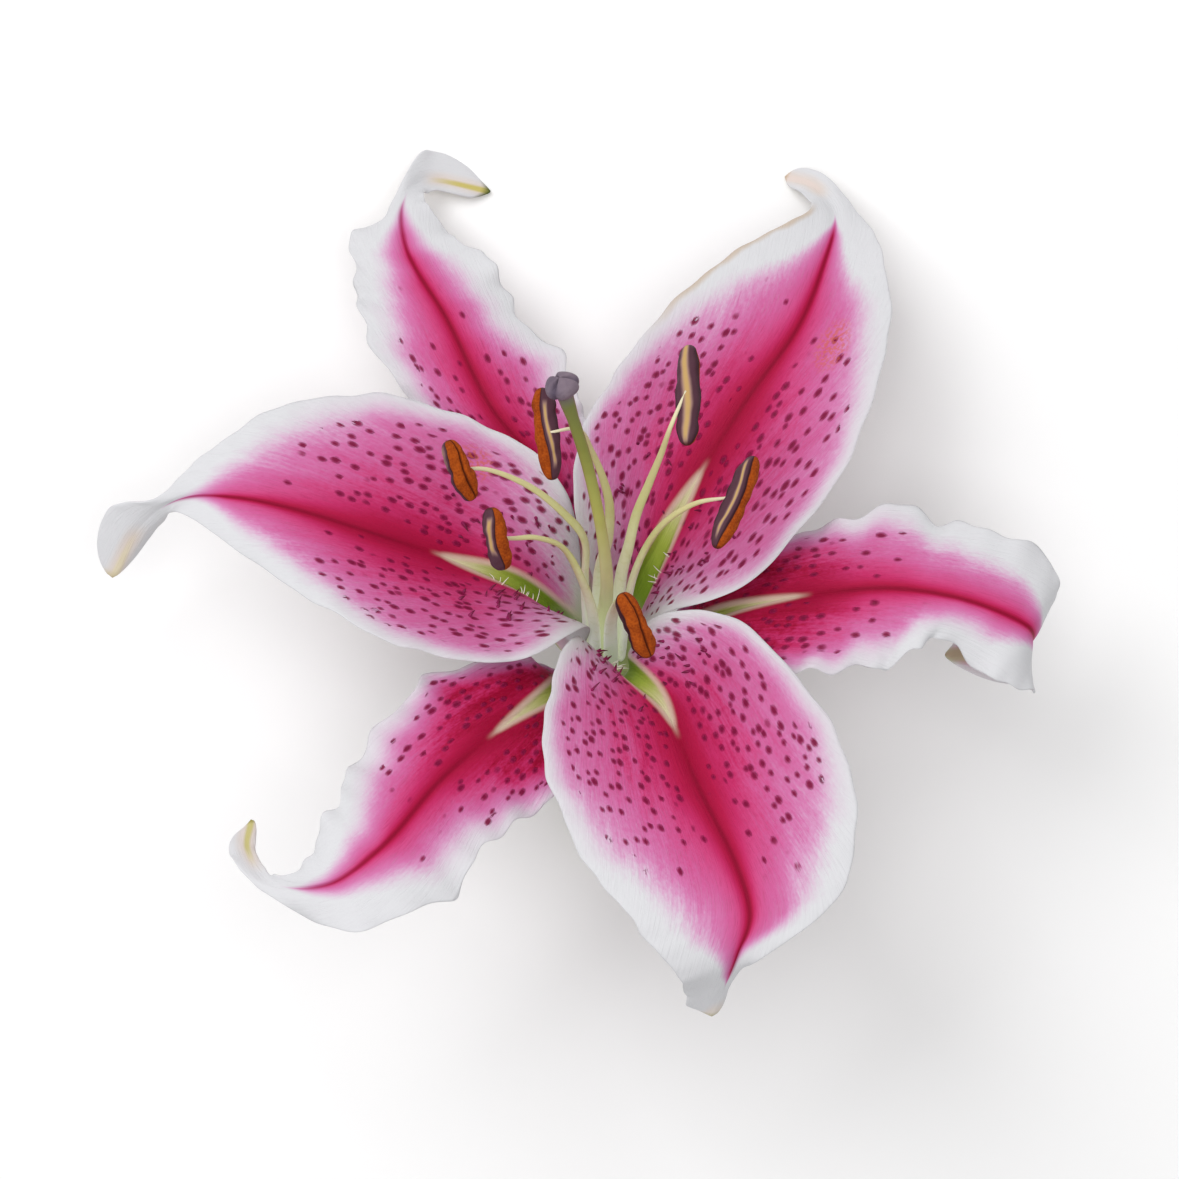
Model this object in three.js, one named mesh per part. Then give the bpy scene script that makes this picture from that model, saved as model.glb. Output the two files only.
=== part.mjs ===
// Cut lily: one open oriental lily bloom with its short cut stalk, lying face up on a surface.
// Millimetres, +Z up. The origin is on the surface, under the middle of the bloom.
//
// The bloom is drawn in its own frame, whose +Z is the flower's axis, and then leans as a whole.
// A point of the bloom is [azimuth in degrees, radius, height]: azimuth turns round the axis from
// +X, radius is the distance from it, and height runs along it from where the tepals start.
import * as THREE from 'three';

// Placing
const AXIS_LEAN = 26;                    // degrees from upright, towards +Y
const THROAT = [4.9, -16.98, 23];        // where the flower's axis meets the receptacle

// Tepals: three lines each, along the midrib and along the two margins, and a ruffle on the margins
const TEPAL_STEPS = 24;                  // sections from base to tip
const TEPAL_STRIPS = 8;                  // strips from margin to margin
const INNER_THICKNESS = 1.1;
const OUTER_THICKNESS = 1.0;
const BASE_THICKENING = 0.6;             // extra thickness at the base, gone by a quarter of the length
const MARGIN_THINNING = 0.45;            // share of the thickness lost at a margin
const GROOVE_ROUNDING = 0.35;            // 0 is a sharp crease along the midrib, 1 a shallow trough
const RUFFLE_OFFSET = 2;                 // radians that the right margin's ruffle lags the left's by

const TEPALS = [
  {
    name: 'inner_tepal_left', thickness: INNER_THICKNESS, ruffle: 0.5, waves: 3,
    rib: [[165, 5.3, 0], [164, 17, 19], [168, 30, 28], [170, 44, 36], [170, 59, 41],
      [170, 71, 42], [170, 81, 38], [172, 89, 30], [176, 94.5, 20]],
    left: [[193, 5.3, 0.4], [243, 8, 26], [225, 25, 34], [207, 40, 39], [191, 54, 42],
      [179, 68, 41], [172, 81, 37.5], [171, 86, 28], [176, 94, 20]],
    right: [[137, 5.3, 0.4], [112, 19, 33], [127, 37, 38], [141, 54, 42], [152, 68, 43],
      [163, 78, 41], [170, 86, 37], [171, 96, 31], [176, 95.5, 20]],
  },
  {
    name: 'inner_tepal_upper_right', thickness: INNER_THICKNESS, ruffle: 0.5, waves: 3,
    rib: [[50, 5.3, 0], [48, 14, 18], [53, 28, 27], [54, 46, 34], [54, 63, 38],
      [57, 78, 38], [60, 90, 35], [65, 98.5, 27], [69, 101.5, 21.3]],
    left: [[78, 5.3, 0.4], [114, 14, 34], [97, 32, 35], [85, 44, 38], [75, 61, 40],
      [67, 76, 40], [63, 88, 36], [66, 96.5, 26], [69, 101, 21.3]],
    right: [[22, 5.3, 0.4], [342, 12.5, 26], [359, 29, 35], [26, 52, 40], [42, 73, 41],
      [51, 85.5, 39], [58, 93.5, 34], [65, 102, 27], [69, 102.5, 21.3]],
  },
  {
    name: 'inner_tepal_bottom', thickness: INNER_THICKNESS, ruffle: 0.5, waves: 3,
    rib: [[288, 5.3, 0], [288, 15, 19], [294, 27, 28], [291, 47, 36], [291, 65, 40],
      [290, 75.5, 40], [287, 81, 37], [285, 83.5, 30], [283, 85.5, 22]],
    left: [[316, 5.3, 0.4], [327, 11, 28], [337, 26, 36], [322, 52, 40], [311, 69, 42],
      [302, 79.5, 41], [290, 83, 37], [287, 81, 30], [284, 85, 22]],
    right: [[260, 5.3, 0.4], [239, 11, 27], [247, 27, 36], [256, 45, 40], [267, 62, 42],
      [274, 73.5, 41], [279, 82.5, 36], [280, 83, 28], [282, 84.5, 22]],
  },
  {
    name: 'outer_tepal_upper_left', thickness: OUTER_THICKNESS, ruffle: 1.6, waves: 5,
    rib: [[115, 7.4, -2], [115, 17, 16], [115, 30, 25], [120, 44.5, 30], [119, 63, 34],
      [119, 78.5, 35], [116, 91, 32], [111, 98.5, 25], [104, 95, 20]],
    left: [[137, 7.4, -1.6], [137, 18, 17], [131, 40, 27], [134, 57, 30], [129, 75, 32],
      [125, 87, 33], [118, 92, 31], [110, 104.5, 25.5], [104, 96, 20]],
    right: [[93, 7.4, -1.6], [93, 18, 17], [94, 35, 27], [99, 45, 30], [106, 63, 32],
      [110, 76.5, 33], [113, 89.5, 31], [111, 96, 25], [105, 94.5, 20]],
  },
  {
    name: 'outer_tepal_right', thickness: OUTER_THICKNESS, ruffle: 1.6, waves: 5,
    rib: [[351, 7.4, -2], [351, 16, 15], [354, 25, 25], [355, 39.5, 33], [355, 54, 38],
      [353, 68, 40], [351, 80, 37], [351, 79, 26], [351, 65.5, 20]],
    left: [[13, 7.4, -1.6], [13, 16.5, 16], [16, 27, 26], [16, 41, 32], [13, 58, 35],
      [7, 72, 36], [1, 85, 34], [358, 82.5, 25], [353, 66, 20]],
    right: [[329, 7.4, -1.6], [328, 16.5, 16], [329, 26, 26], [332, 41, 32], [339, 54.5, 35],
      [347, 63, 36], [343, 76.5, 34], [346, 83, 26], [350, 66.5, 20]],
  },
  {
    name: 'outer_tepal_lower_left', thickness: OUTER_THICKNESS, ruffle: 1.6, waves: 5,
    rib: [[242, 7.4, -2], [245, 16, 15.5], [242, 24, 25], [237, 37.5, 32], [235, 53, 37],
      [235, 69.5, 40], [232, 81.5, 38], [225, 86.5, 31], [218, 84, 24], [213, 79, 17]],
    left: [[264, 7.4, -1.6], [265, 17, 17], [260, 32.5, 27], [256, 46, 32], [249, 60, 35],
      [246, 73, 38], [238, 86.5, 37], [225, 88.5, 31], [217, 87, 24], [213, 79.5, 17]],
    right: [[220, 7.4, -1.6], [222, 16, 17], [215, 23, 27], [212, 39, 32], [218, 55.5, 35],
      [224, 68.5, 38], [227, 79, 37], [225, 85, 31], [219, 83, 24], [213, 78.5, 17]],
  },
];

// Stamens: the filament's centre line, short of its tip; the two ends of its anther's centre
// line; and the roll in degrees that turns the anther's pollen side from facing straight up.
// The filament's tip is worked out: it meets the middle of the anther's back.
const FILAMENT_BASE_HALF_WIDTH = 1.45;   // round the axis; a filament is flat at its base
const FILAMENT_BASE_HALF_DEPTH = 0.9;
const FILAMENT_TIP_RADIUS = 0.35;
const FILAMENT_TAPERING = 1.6;           // 1 is an even taper; more keeps the width for longer
const FILAMENT_TIP_GAP = 0.3;            // between a filament's tip and the back of its anther
const FILAMENT_STEPS = 16;
const FILAMENT_SIDES = 8;
const ANTHER_HALF_WIDTH = 2;
const ANTHER_HALF_DEPTH = 1.7;
const ANTHER_BOW = 0.8;                  // how far the middle of an anther stands up from its ends
const ANTHER_FURROW = 0.18;              // share of the depth
const ANTHER_END_TRIM = 0.04;            // share of the length, so that an end is a small flat, not a point
const ANTHER_STEPS = 12;
const ANTHER_SIDES = 12;
const STAMENS = [
  { filament: [[172, 3.2, -0.3], [158, 4.2, 26], [134, 5.6, 40], [142, 9.6, 47.5], [150, 16.2, 54.5],
    [158, 23.5, 60]],
    anther: [[159, 31, 67], [174, 24.5, 60]], roll: -35 },
  { filament: [[232, 3.2, -0.3], [234, 3.9, 22], [205, 4.7, 35], [176, 7.8, 44], [181, 12.6, 50],
    [187, 17, 53.5]],
    anther: [[183, 21, 64], [206, 21, 55]], roll: -60 },
  { filament: [[112, 3.2, -0.3], [104, 4.4, 26], [86, 6, 37], [85, 8.6, 45], [92, 11, 51.5],
    [101, 13.6, 58.5], [109, 15.4, 64.8]],
    anther: [[118, 25, 67], [148, 11.5, 61]], roll: 160 },
  { filament: [[52, 3.2, -0.3], [46, 4.2, 26], [44, 6, 37.5], [52, 9.3, 44.5], [52, 13, 51.5], [51, 16.2, 59],
    [51, 19, 66]],
    anther: [[64, 35, 66], [37, 18.6, 65]], roll: 195 },
  { filament: [[352, 3.2, -0.3], [352, 4.4, 25], [8, 6, 36], [18, 9, 44], [16, 12.4, 51], [10, 17, 58]],
    anther: [[19, 28.7, 64], [336, 21.8, 63]], roll: -110 },
  { filament: [[292, 3.2, -0.3], [284, 4.4, 22], [290, 6.4, 34], [287, 10.2, 43], [284, 14.6, 51],
    [282, 19, 57.5]],
    anther: [[278, 19.5, 66], [285, 30.3, 60]], roll: -30 },
];

// Pistil: ovary, style and stigma along one line
const PISTIL_LINE = [
  [0, 0, -0.3], [270, 0.4, 18], [276, 2, 38], [139, 1.4, 54], [118, 8, 68], [120, 16.5, 84],
];
const OVARY_RADIUS = 1.9;
const STYLE_RADIUS = 1.1;
const STIGMA_RADIUS = 3.1;
const STIGMA_START = 0.95;               // share of the pistil's length
const STIGMA_LOBES = 3;
const STIGMA_LOBE_DEPTH = 0.16;          // share of the radius
const PISTIL_SIDES = 18;
// [share of the length from the base, radius]
const PISTIL_PROFILE = [[0, 1.6], [0.02, OVARY_RADIUS], [0.2, OVARY_RADIUS], [0.25, STYLE_RADIUS],
  [0.4, STYLE_RADIUS], [0.52, STYLE_RADIUS], [0.64, STYLE_RADIUS], [0.76, STYLE_RADIUS],
  [0.86, STYLE_RADIUS], [0.94, 1.3], [0.955, 2.6], [0.97, STIGMA_RADIUS], [0.985, 2.9], [0.995, 2]];

// Stalk: down from the receptacle, round a bend and along the surface to the cut
const STALK_RADIUS = 2.75;
const STALK_STRAIGHT = 8;                // from the receptacle's top to the start of the bend
const STALK_LYING = 15;                  // from the end of the bend to the cut
const STALK_SIDES = 20;
const BEND_STEPS = 8;
const RECEPTACLE_TOP = -0.9;             // height of its top on the flower's axis
// [distance down from the top, radius]
const RECEPTACLE_PROFILE = [[0, 6.2], [1.9, 6.2], [1.92, 8.2], [2.6, 8.3], [4.2, 6.6], [6, 4.4], [7.5, 3.2]];

const COLOURS = {
  inner_tepal: '#d0508f', outer_tepal: '#cc4080', filament: '#cfd08a', anther: '#b8500f',
  pistil: '#8f9446', pedicel: '#7f9a4a',
};

const bloomPoint = ([azimuth, radius, height]) => {
  const turn = THREE.MathUtils.degToRad(azimuth);
  return new THREE.Vector3(radius * Math.cos(turn), radius * Math.sin(turn), height);
};

const smoothLine = (points) => new THREE.CatmullRomCurve3(points, false, 'catmullrom', 0.5);
const bloomLine = (points) => smoothLine(points.map(bloomPoint));

// A closed body from rings of points: every ring has the same count, and both ends are capped flat.
function closedBody(rings) {
  const sides = rings[0].length;
  const positions = rings.flat().flatMap((p) => [p.x, p.y, p.z]);
  const index = [];
  for (let i = 0; i < rings.length - 1; i += 1) {
    for (let j = 0; j < sides; j += 1) {
      const a = i * sides + j;
      const b = i * sides + ((j + 1) % sides);
      index.push(a, b + sides, b, a, a + sides, b + sides);
    }
  }
  [rings[0], rings[rings.length - 1]].forEach((ring, end) => {
    const centre = positions.length / 3;
    const middle = ring.reduce((sum, p) => sum.add(p), new THREE.Vector3()).divideScalar(sides);
    positions.push(middle.x, middle.y, middle.z);
    const start = end * (rings.length - 1) * sides;
    for (let j = 0; j < sides; j += 1) {
      const a = start + j;
      const b = start + ((j + 1) % sides);
      index.push(...(end === 0 ? [a, b, centre] : [b, a, centre]));
    }
  });
  const geometry = new THREE.BufferGeometry();
  geometry.setAttribute('position', new THREE.Float32BufferAttribute(positions, 3));
  geometry.setIndex(index);
  geometry.computeVertexNormals();
  return geometry;
}

// A body along a curve. `up` is a direction that the curve never follows, and
// outline(share, angle) gives the [sideways, upwards] distance from the curve.
function alongCurve(curve, shares, sides, up, outline) {
  const rings = shares.map((share) => {
    const centre = curve.getPointAt(share);
    const side = curve.getTangentAt(share).cross(up).normalize();
    const top = side.clone().cross(curve.getTangentAt(share)).normalize();
    return Array.from({ length: sides }, (_, j) => {
      const [across, rise] = outline(share, (2 * Math.PI * j) / sides);
      return centre.clone().addScaledVector(side, across).addScaledVector(top, rise);
    });
  });
  return closedBody(rings);
}

const evenShares = (steps) => Array.from({ length: steps + 1 }, (_, i) => i / steps);

// Height of the section over the midrib, from 0 at the midrib to 1 at a margin.
const troughRise = (v) => (Math.hypot(v, GROOVE_ROUNDING) - GROOVE_ROUNDING)
  / (Math.hypot(1, GROOVE_ROUNDING) - GROOVE_ROUNDING);

// The tepal's middle surface: u runs from base to tip, v from the left margin (-1) to the right (1).
function tepalSurface(tepal) {
  const [rib, left, right] = [tepal.rib, tepal.left, tepal.right].map(bloomLine);
  const smooth = (u, v) => {
    const [m, l, r] = [rib, left, right].map((line) => line.getPoint(u));
    const across = r.clone().sub(l).divideScalar(2);
    const lift = r.clone().add(l).divideScalar(2).sub(m);
    return m.addScaledVector(across, v).addScaledVector(lift, troughRise(v));
  };
  const nearby = 0.01;
  const normal = (u, v) => {
    const alongU = smooth(Math.min(u + nearby, 1), v).sub(smooth(Math.max(u - nearby, 0), v));
    const alongV = smooth(u, v + nearby).sub(smooth(u, v - nearby));
    return alongV.cross(alongU).normalize();
  };
  const wave = (u, v) => {
    const growth = Math.abs(v) ** 3 * Math.sin(Math.PI * u) ** 2;
    return tepal.ruffle * growth * Math.sin(2 * Math.PI * tepal.waves * u + (v < 0 ? 0 : RUFFLE_OFFSET));
  };
  return { smooth, normal, wave };
}

function tepalGeometry(tepal) {
  const { smooth, normal, wave } = tepalSurface(tepal);
  const place = (u, v, side) => {
    const base = BASE_THICKENING * Math.max(0, 1 - 4 * u);
    const half = ((tepal.thickness + base) * (1 - MARGIN_THINNING * v * v)) / 2;
    return smooth(u, v).addScaledVector(normal(u, v), wave(u, v) + side * half);
  };
  const across = Array.from({ length: TEPAL_STRIPS + 1 }, (_, j) => (2 * j) / TEPAL_STRIPS - 1);
  const rings = evenShares(TEPAL_STEPS).map((u) => [
    ...across.map((v) => place(u, v, -1)),
    ...across.map((v) => place(u, -v, 1)),
  ]);
  return closedBody(rings);
}

const lean = THREE.MathUtils.degToRad(AXIS_LEAN);
const skyward = new THREE.Vector3(0, -Math.sin(lean), Math.cos(lean));   // straight up, in the bloom's frame

function antherMiddle(stamen) {
  const [start, end] = stamen.anther.map(bloomPoint);
  return start.add(end).divideScalar(2).addScaledVector(skyward, ANTHER_BOW);
}

// The way the pollen side faces.
function antherFront(stamen) {
  const [start, end] = stamen.anther.map(bloomPoint);
  const along = end.sub(start).normalize();
  const side = along.clone().cross(skyward).normalize();
  return side.clone().cross(along).applyAxisAngle(along, THREE.MathUtils.degToRad(stamen.roll));
}

function filamentGeometry(stamen) {
  const back = ANTHER_HALF_DEPTH + FILAMENT_TIP_RADIUS + FILAMENT_TIP_GAP;
  const tip = antherMiddle(stamen).addScaledVector(antherFront(stamen), -back);
  const line = smoothLine([...stamen.filament.map(bloomPoint), tip]);
  const turn = THREE.MathUtils.degToRad(stamen.filament[0][0]);
  const up = new THREE.Vector3(-Math.sin(turn), Math.cos(turn), 0);
  return alongCurve(line, evenShares(FILAMENT_STEPS), FILAMENT_SIDES, up, (share, angle) => {
    const taper = share ** FILAMENT_TAPERING;
    const depth = THREE.MathUtils.lerp(FILAMENT_BASE_HALF_DEPTH, FILAMENT_TIP_RADIUS, taper);
    const width = THREE.MathUtils.lerp(FILAMENT_BASE_HALF_WIDTH, FILAMENT_TIP_RADIUS, taper);
    return [depth * Math.cos(angle), width * Math.sin(angle)];
  });
}

function antherGeometry(stamen) {
  const [start, end] = stamen.anther.map(bloomPoint);
  const middle = antherMiddle(stamen);
  const shares = evenShares(ANTHER_STEPS).map((s) => (
    0.5 - 0.5 * Math.cos(Math.PI * THREE.MathUtils.lerp(ANTHER_END_TRIM, 1 - ANTHER_END_TRIM, s))));
  const front = antherFront(stamen);
  return alongCurve(smoothLine([start, middle, end]), shares, ANTHER_SIDES, front, (share, angle) => {
    const fullness = Math.sqrt(Math.sqrt(1 - (2 * share - 1) ** 4));
    const furrow = 1 - ANTHER_FURROW * Math.abs(Math.sin(angle)) ** 4;
    return [
      ANTHER_HALF_WIDTH * fullness * Math.cos(angle),
      ANTHER_HALF_DEPTH * fullness * furrow * Math.sin(angle),
    ];
  });
}

function pistilGeometry() {
  const radii = new Map(PISTIL_PROFILE);
  const up = new THREE.Vector3(1, 0, 0);
  return alongCurve(bloomLine(PISTIL_LINE), [...radii.keys()], PISTIL_SIDES, up, (share, angle) => {
    const depth = share > STIGMA_START ? STIGMA_LOBE_DEPTH : 0;
    const radius = radii.get(share) * (1 - depth + depth * Math.cos(STIGMA_LOBES * angle));
    return [radius * Math.cos(angle), radius * Math.sin(angle)];
  });
}

function stalkGeometry() {
  const down = new THREE.Vector3(0, -Math.sin(lean), -Math.cos(lean));     // the flower's axis, reversed
  const top = new THREE.Vector3(...THROAT).addScaledVector(down, -RECEPTACLE_TOP);
  const bendStart = top.clone().addScaledVector(down, STALK_STRAIGHT);
  const turn = Math.PI / 2 - lean;
  const bendRadius = (bendStart.z - STALK_RADIUS) / (1 - Math.cos(turn));
  const ringAt = (centre, tangent, radius) => {
    const rise = tangent.clone().cross(new THREE.Vector3(1, 0, 0)).negate();
    return Array.from({ length: STALK_SIDES }, (_, j) => {
      const angle = (2 * Math.PI * j) / STALK_SIDES;
      return centre.clone().addScaledVector(rise, radius * Math.sin(angle))
        .add(new THREE.Vector3(radius * Math.cos(angle), 0, 0));
    });
  };
  const rings = RECEPTACLE_PROFILE.map(([distance, radius]) => (
    ringAt(top.clone().addScaledVector(down, distance), down, radius)));
  for (let i = 0; i <= BEND_STEPS; i += 1) {
    const left = turn * (1 - i / BEND_STEPS);          // angle still to turn before lying flat
    const tangent = new THREE.Vector3(0, -Math.cos(left), -Math.sin(left));
    const centre = bendStart.clone();
    centre.y -= bendRadius * (Math.sin(turn) - Math.sin(left));
    centre.z = STALK_RADIUS + bendRadius * (1 - Math.cos(left));
    rings.push(ringAt(centre, tangent, STALK_RADIUS));
  }
  const lying = new THREE.Vector3(0, -1, 0);
  const bendEnd = bendStart.y - bendRadius * Math.sin(turn);
  rings.push(ringAt(new THREE.Vector3(THROAT[0], bendEnd - STALK_LYING, STALK_RADIUS), lying, STALK_RADIUS));
  return closedBody(rings);
}

function piece(name, geometry, colour, roughness) {
  const material = new THREE.MeshStandardMaterial({ color: colour, roughness, metalness: 0 });
  const mesh = new THREE.Mesh(geometry, material);
  mesh.name = name;
  return mesh;
}

const bloom = new THREE.Group();
bloom.position.set(...THROAT);
bloom.rotation.x = -lean;

TEPALS.forEach((tepal) => {
  const colour = COLOURS[tepal.name.startsWith('inner') ? 'inner_tepal' : 'outer_tepal'];
  bloom.add(piece(tepal.name, tepalGeometry(tepal), colour, 0.55));
});
STAMENS.forEach((stamen, i) => {
  bloom.add(piece(`filament_${i + 1}`, filamentGeometry(stamen), COLOURS.filament, 0.5));
  bloom.add(piece(`anther_${i + 1}`, antherGeometry(stamen), COLOURS.anther, 0.85));
});
bloom.add(piece('pistil', pistilGeometry(), COLOURS.pistil, 0.5));

const lily = new THREE.Group();
lily.add(bloom);
lily.add(piece('pedicel', stalkGeometry(), COLOURS.pedicel, 0.55));

export default lily;
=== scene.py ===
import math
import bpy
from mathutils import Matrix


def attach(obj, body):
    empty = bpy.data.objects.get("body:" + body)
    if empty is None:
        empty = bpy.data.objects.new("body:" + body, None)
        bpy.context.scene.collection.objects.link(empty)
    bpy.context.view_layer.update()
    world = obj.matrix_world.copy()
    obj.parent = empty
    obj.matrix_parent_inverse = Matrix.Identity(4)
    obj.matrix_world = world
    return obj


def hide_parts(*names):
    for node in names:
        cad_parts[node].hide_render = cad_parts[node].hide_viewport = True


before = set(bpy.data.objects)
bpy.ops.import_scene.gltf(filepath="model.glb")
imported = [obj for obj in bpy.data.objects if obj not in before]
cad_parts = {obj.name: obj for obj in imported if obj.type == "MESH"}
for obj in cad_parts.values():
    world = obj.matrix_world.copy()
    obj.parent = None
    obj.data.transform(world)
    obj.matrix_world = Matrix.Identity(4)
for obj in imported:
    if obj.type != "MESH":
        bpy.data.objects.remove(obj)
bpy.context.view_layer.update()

# %% [markdown]
# # A cut lily, lying face up
#
# This is one open oriental lily bloom on a short cut stalk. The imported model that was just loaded
# gives every piece its size and place. Here each plain solid is replaced by a fine surface with a
# finish of its own: six tepals, six stamens, the pistil and the stalk. The shapes are numpy
# arrays, because a petal is easiest to describe as a formula in two directions: how far along it
# a point lies, and how far across.

# %% Tools and the frame's size
from types import SimpleNamespace

import bpy
import numpy as np
from mathutils import Vector

MM = 0.001

# %% [markdown]
# ## The bloom's own directions
#
# A flower is drawn most easily round its own axis. A point of the bloom is written as
# (azimuth in degrees, radius, height), in millimetres, and turned into a place in the frame: the
# axis leans from upright, and the throat is where it meets the stalk.

# %% The bloom's directions
LEAN = math.radians(26)
THROAT = np.array([4.9, -16.98, 23]) * MM
ACROSS = np.array([1, 0, 0])
UPHILL = np.array([0, math.cos(LEAN), -math.sin(LEAN)])
AXIS = np.array([0, math.sin(LEAN), math.cos(LEAN)])
SKY = np.array([0, 0, 1])


def bloom_points(triples):
    """Places in the frame: throat + radius * (cos, sin) of the azimuth + height along the axis."""
    azimuth, radius, height = np.array(triples, float).T
    turn = np.radians(azimuth)
    flat = np.outer(radius * np.cos(turn), ACROSS) + np.outer(radius * np.sin(turn), UPHILL)
    return THROAT + MM * (flat + np.outer(height, AXIS))


print("axis", AXIS.round(3))

# %% [markdown]
# ## A smooth line through a few points
#
# Blender has curve objects, but a curve worked out in numpy can be measured and bent before
# any mesh exists. This one passes through every point, and its slope at a point is half the step
# between that point's neighbours.

# %% Smooth lines
MEASURING_STEPS = 600


def smooth_line(points, shares):
    """A cubic between each two points; slopes are half the step between the neighbours, and past
    the ends the line is carried straight on. Share 0 is the first point, 1 the last."""
    padded = np.vstack([2 * points[0] - points[1], points, 2 * points[-1] - points[-2]])
    place = np.clip(shares, 0, 1) * (len(points) - 1)
    first = np.minimum(place.astype(int), len(points) - 2)
    t = (place - first)[..., None]
    before, start, end, after = (padded[first + k] for k in range(4))
    slope_out, slope_in = (end - before) / 2, (after - start) / 2
    return ((2 * t**3 - 3 * t**2 + 1) * start + (t**3 - 2 * t**2 + t) * slope_out
            + (3 * t**2 - 2 * t**3) * end + (t**3 - t**2) * slope_in)


def evenly(points, shares):
    """The same line, but with the shares counted by length along it."""
    fine = smooth_line(points, np.linspace(0, 1, MEASURING_STEPS))
    length = np.append(0, np.cumsum(np.linalg.norm(np.diff(fine, axis=0), axis=1)))
    return np.stack([np.interp(np.asarray(shares) * length[-1], length, c) for c in fine.T], -1)


def unit(vectors):
    """Each vector divided by its own length."""
    return vectors / np.linalg.norm(vectors, axis=-1, keepdims=True)


arch = smooth_line(np.array([[0.0, 0.0], [1.0, 1.0], [2.0, 0.0]]), np.array([0.25, 0.5]))
print("the line through (0, 0), (1, 1) and (2, 0) passes", arch[0], "on its way to", arch[1])

# %% [markdown]
# ## From rings of points to a closed mesh
#
# Every piece here is a stack of rings, like a sock: a row of points runs round the piece, the next
# row lies a little further along, and quads join them. Fans of triangles close the two ends.
# Numbers that a finish needs, such as how far along the piece a point lies, are stored on the
# points as attributes, and a UV map holds distances over the surface.

# %% Mesh from rings
def ring_faces(count, around):
    """Quads between neighbouring rings, as (point, next ring's point, its neighbour, neighbour),
    and a fan from each end ring to a middle point that follows all the rings."""
    here = np.arange(around)
    ring, point = np.meshgrid(np.arange(count - 1) * around, here, indexing="ij")
    beside = (point + 1) % around
    quads = np.stack([ring + point, ring + around + point, ring + around + beside, ring + beside], -1)
    there = (here + 1) % around
    last = (count - 1) * around
    middle = np.full(around, count * around)
    fans = np.vstack([np.stack([here, there, middle], -1),
                      np.stack([last + there, last + here, middle + 1], -1)])
    return quads.reshape(-1, 4).tolist() + fans.tolist()


def with_middles(values):
    """An array (ring, point, ...) as one row per point, then the means of the two end rings."""
    ends = values[[0, -1]].mean(axis=1)
    return np.concatenate([values.reshape(-1, *values.shape[2:]), ends])


def closed_rings(name, rings, fields, flat=None):
    """A closed mesh from an array (ring, point, xyz). Fields are arrays (ring, point), and flat is
    an array (ring, point, 2) for the UV map."""
    mesh = bpy.data.meshes.new(name)
    mesh.from_pydata(with_middles(rings).tolist(), [], ring_faces(*rings.shape[:2]))
    mesh.shade_smooth()
    add_fields(mesh, {key: with_middles(value) for key, value in fields.items()},
               None if flat is None else with_middles(flat))
    return mesh


def add_fields(mesh, fields, flat=None):
    """Stores one number per vertex for each field, and the flat places as a UV map."""
    for key, values in fields.items():
        layer = mesh.attributes.new(key, "FLOAT", "POINT")
        layer.data.foreach_set("value", np.ascontiguousarray(values, np.float32))
    if flat is not None:
        corners = np.empty(len(mesh.loops), np.int32)
        mesh.loops.foreach_get("vertex_index", corners)
        uv = mesh.uv_layers.new(name="flat")
        uv.data.foreach_set("uv", flat[corners].astype(np.float32).ravel())


print("three rings of four points make", len(ring_faces(3, 4)), "faces")

# %% [markdown]
# ## Handing a piece to the frame
#
# A finished piece has its place in its mesh, so its object stays at the origin, unturned. It
# rides on the flower's one body, and may stand in for a plain solid, which is then hidden.

# %% Handing over
def put(name, mesh, finish, slot, node=None):
    """Makes the piece, gives it its finish and hands it to the frame."""
    piece = bpy.data.objects.new(name, mesh)
    bpy.context.scene.collection.objects.link(piece)
    mesh.materials.append(finish)
    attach(piece, "root")
    if node:
        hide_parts(node)
    print(name, "has", len(mesh.polygons), "faces")


print("plain solids to replace:", ", ".join(sorted(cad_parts)))

# %% [markdown]
# ## Writing shader maths as expressions
#
# A material is a network of nodes. Wiring dozens of Math nodes by hand hides the formula, so a
# small class wraps an output socket and lets +, -, * and / add the Math nodes. Anything else
# comes from its `node` method: the node's type, its settings, then what goes into its sockets.

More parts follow.
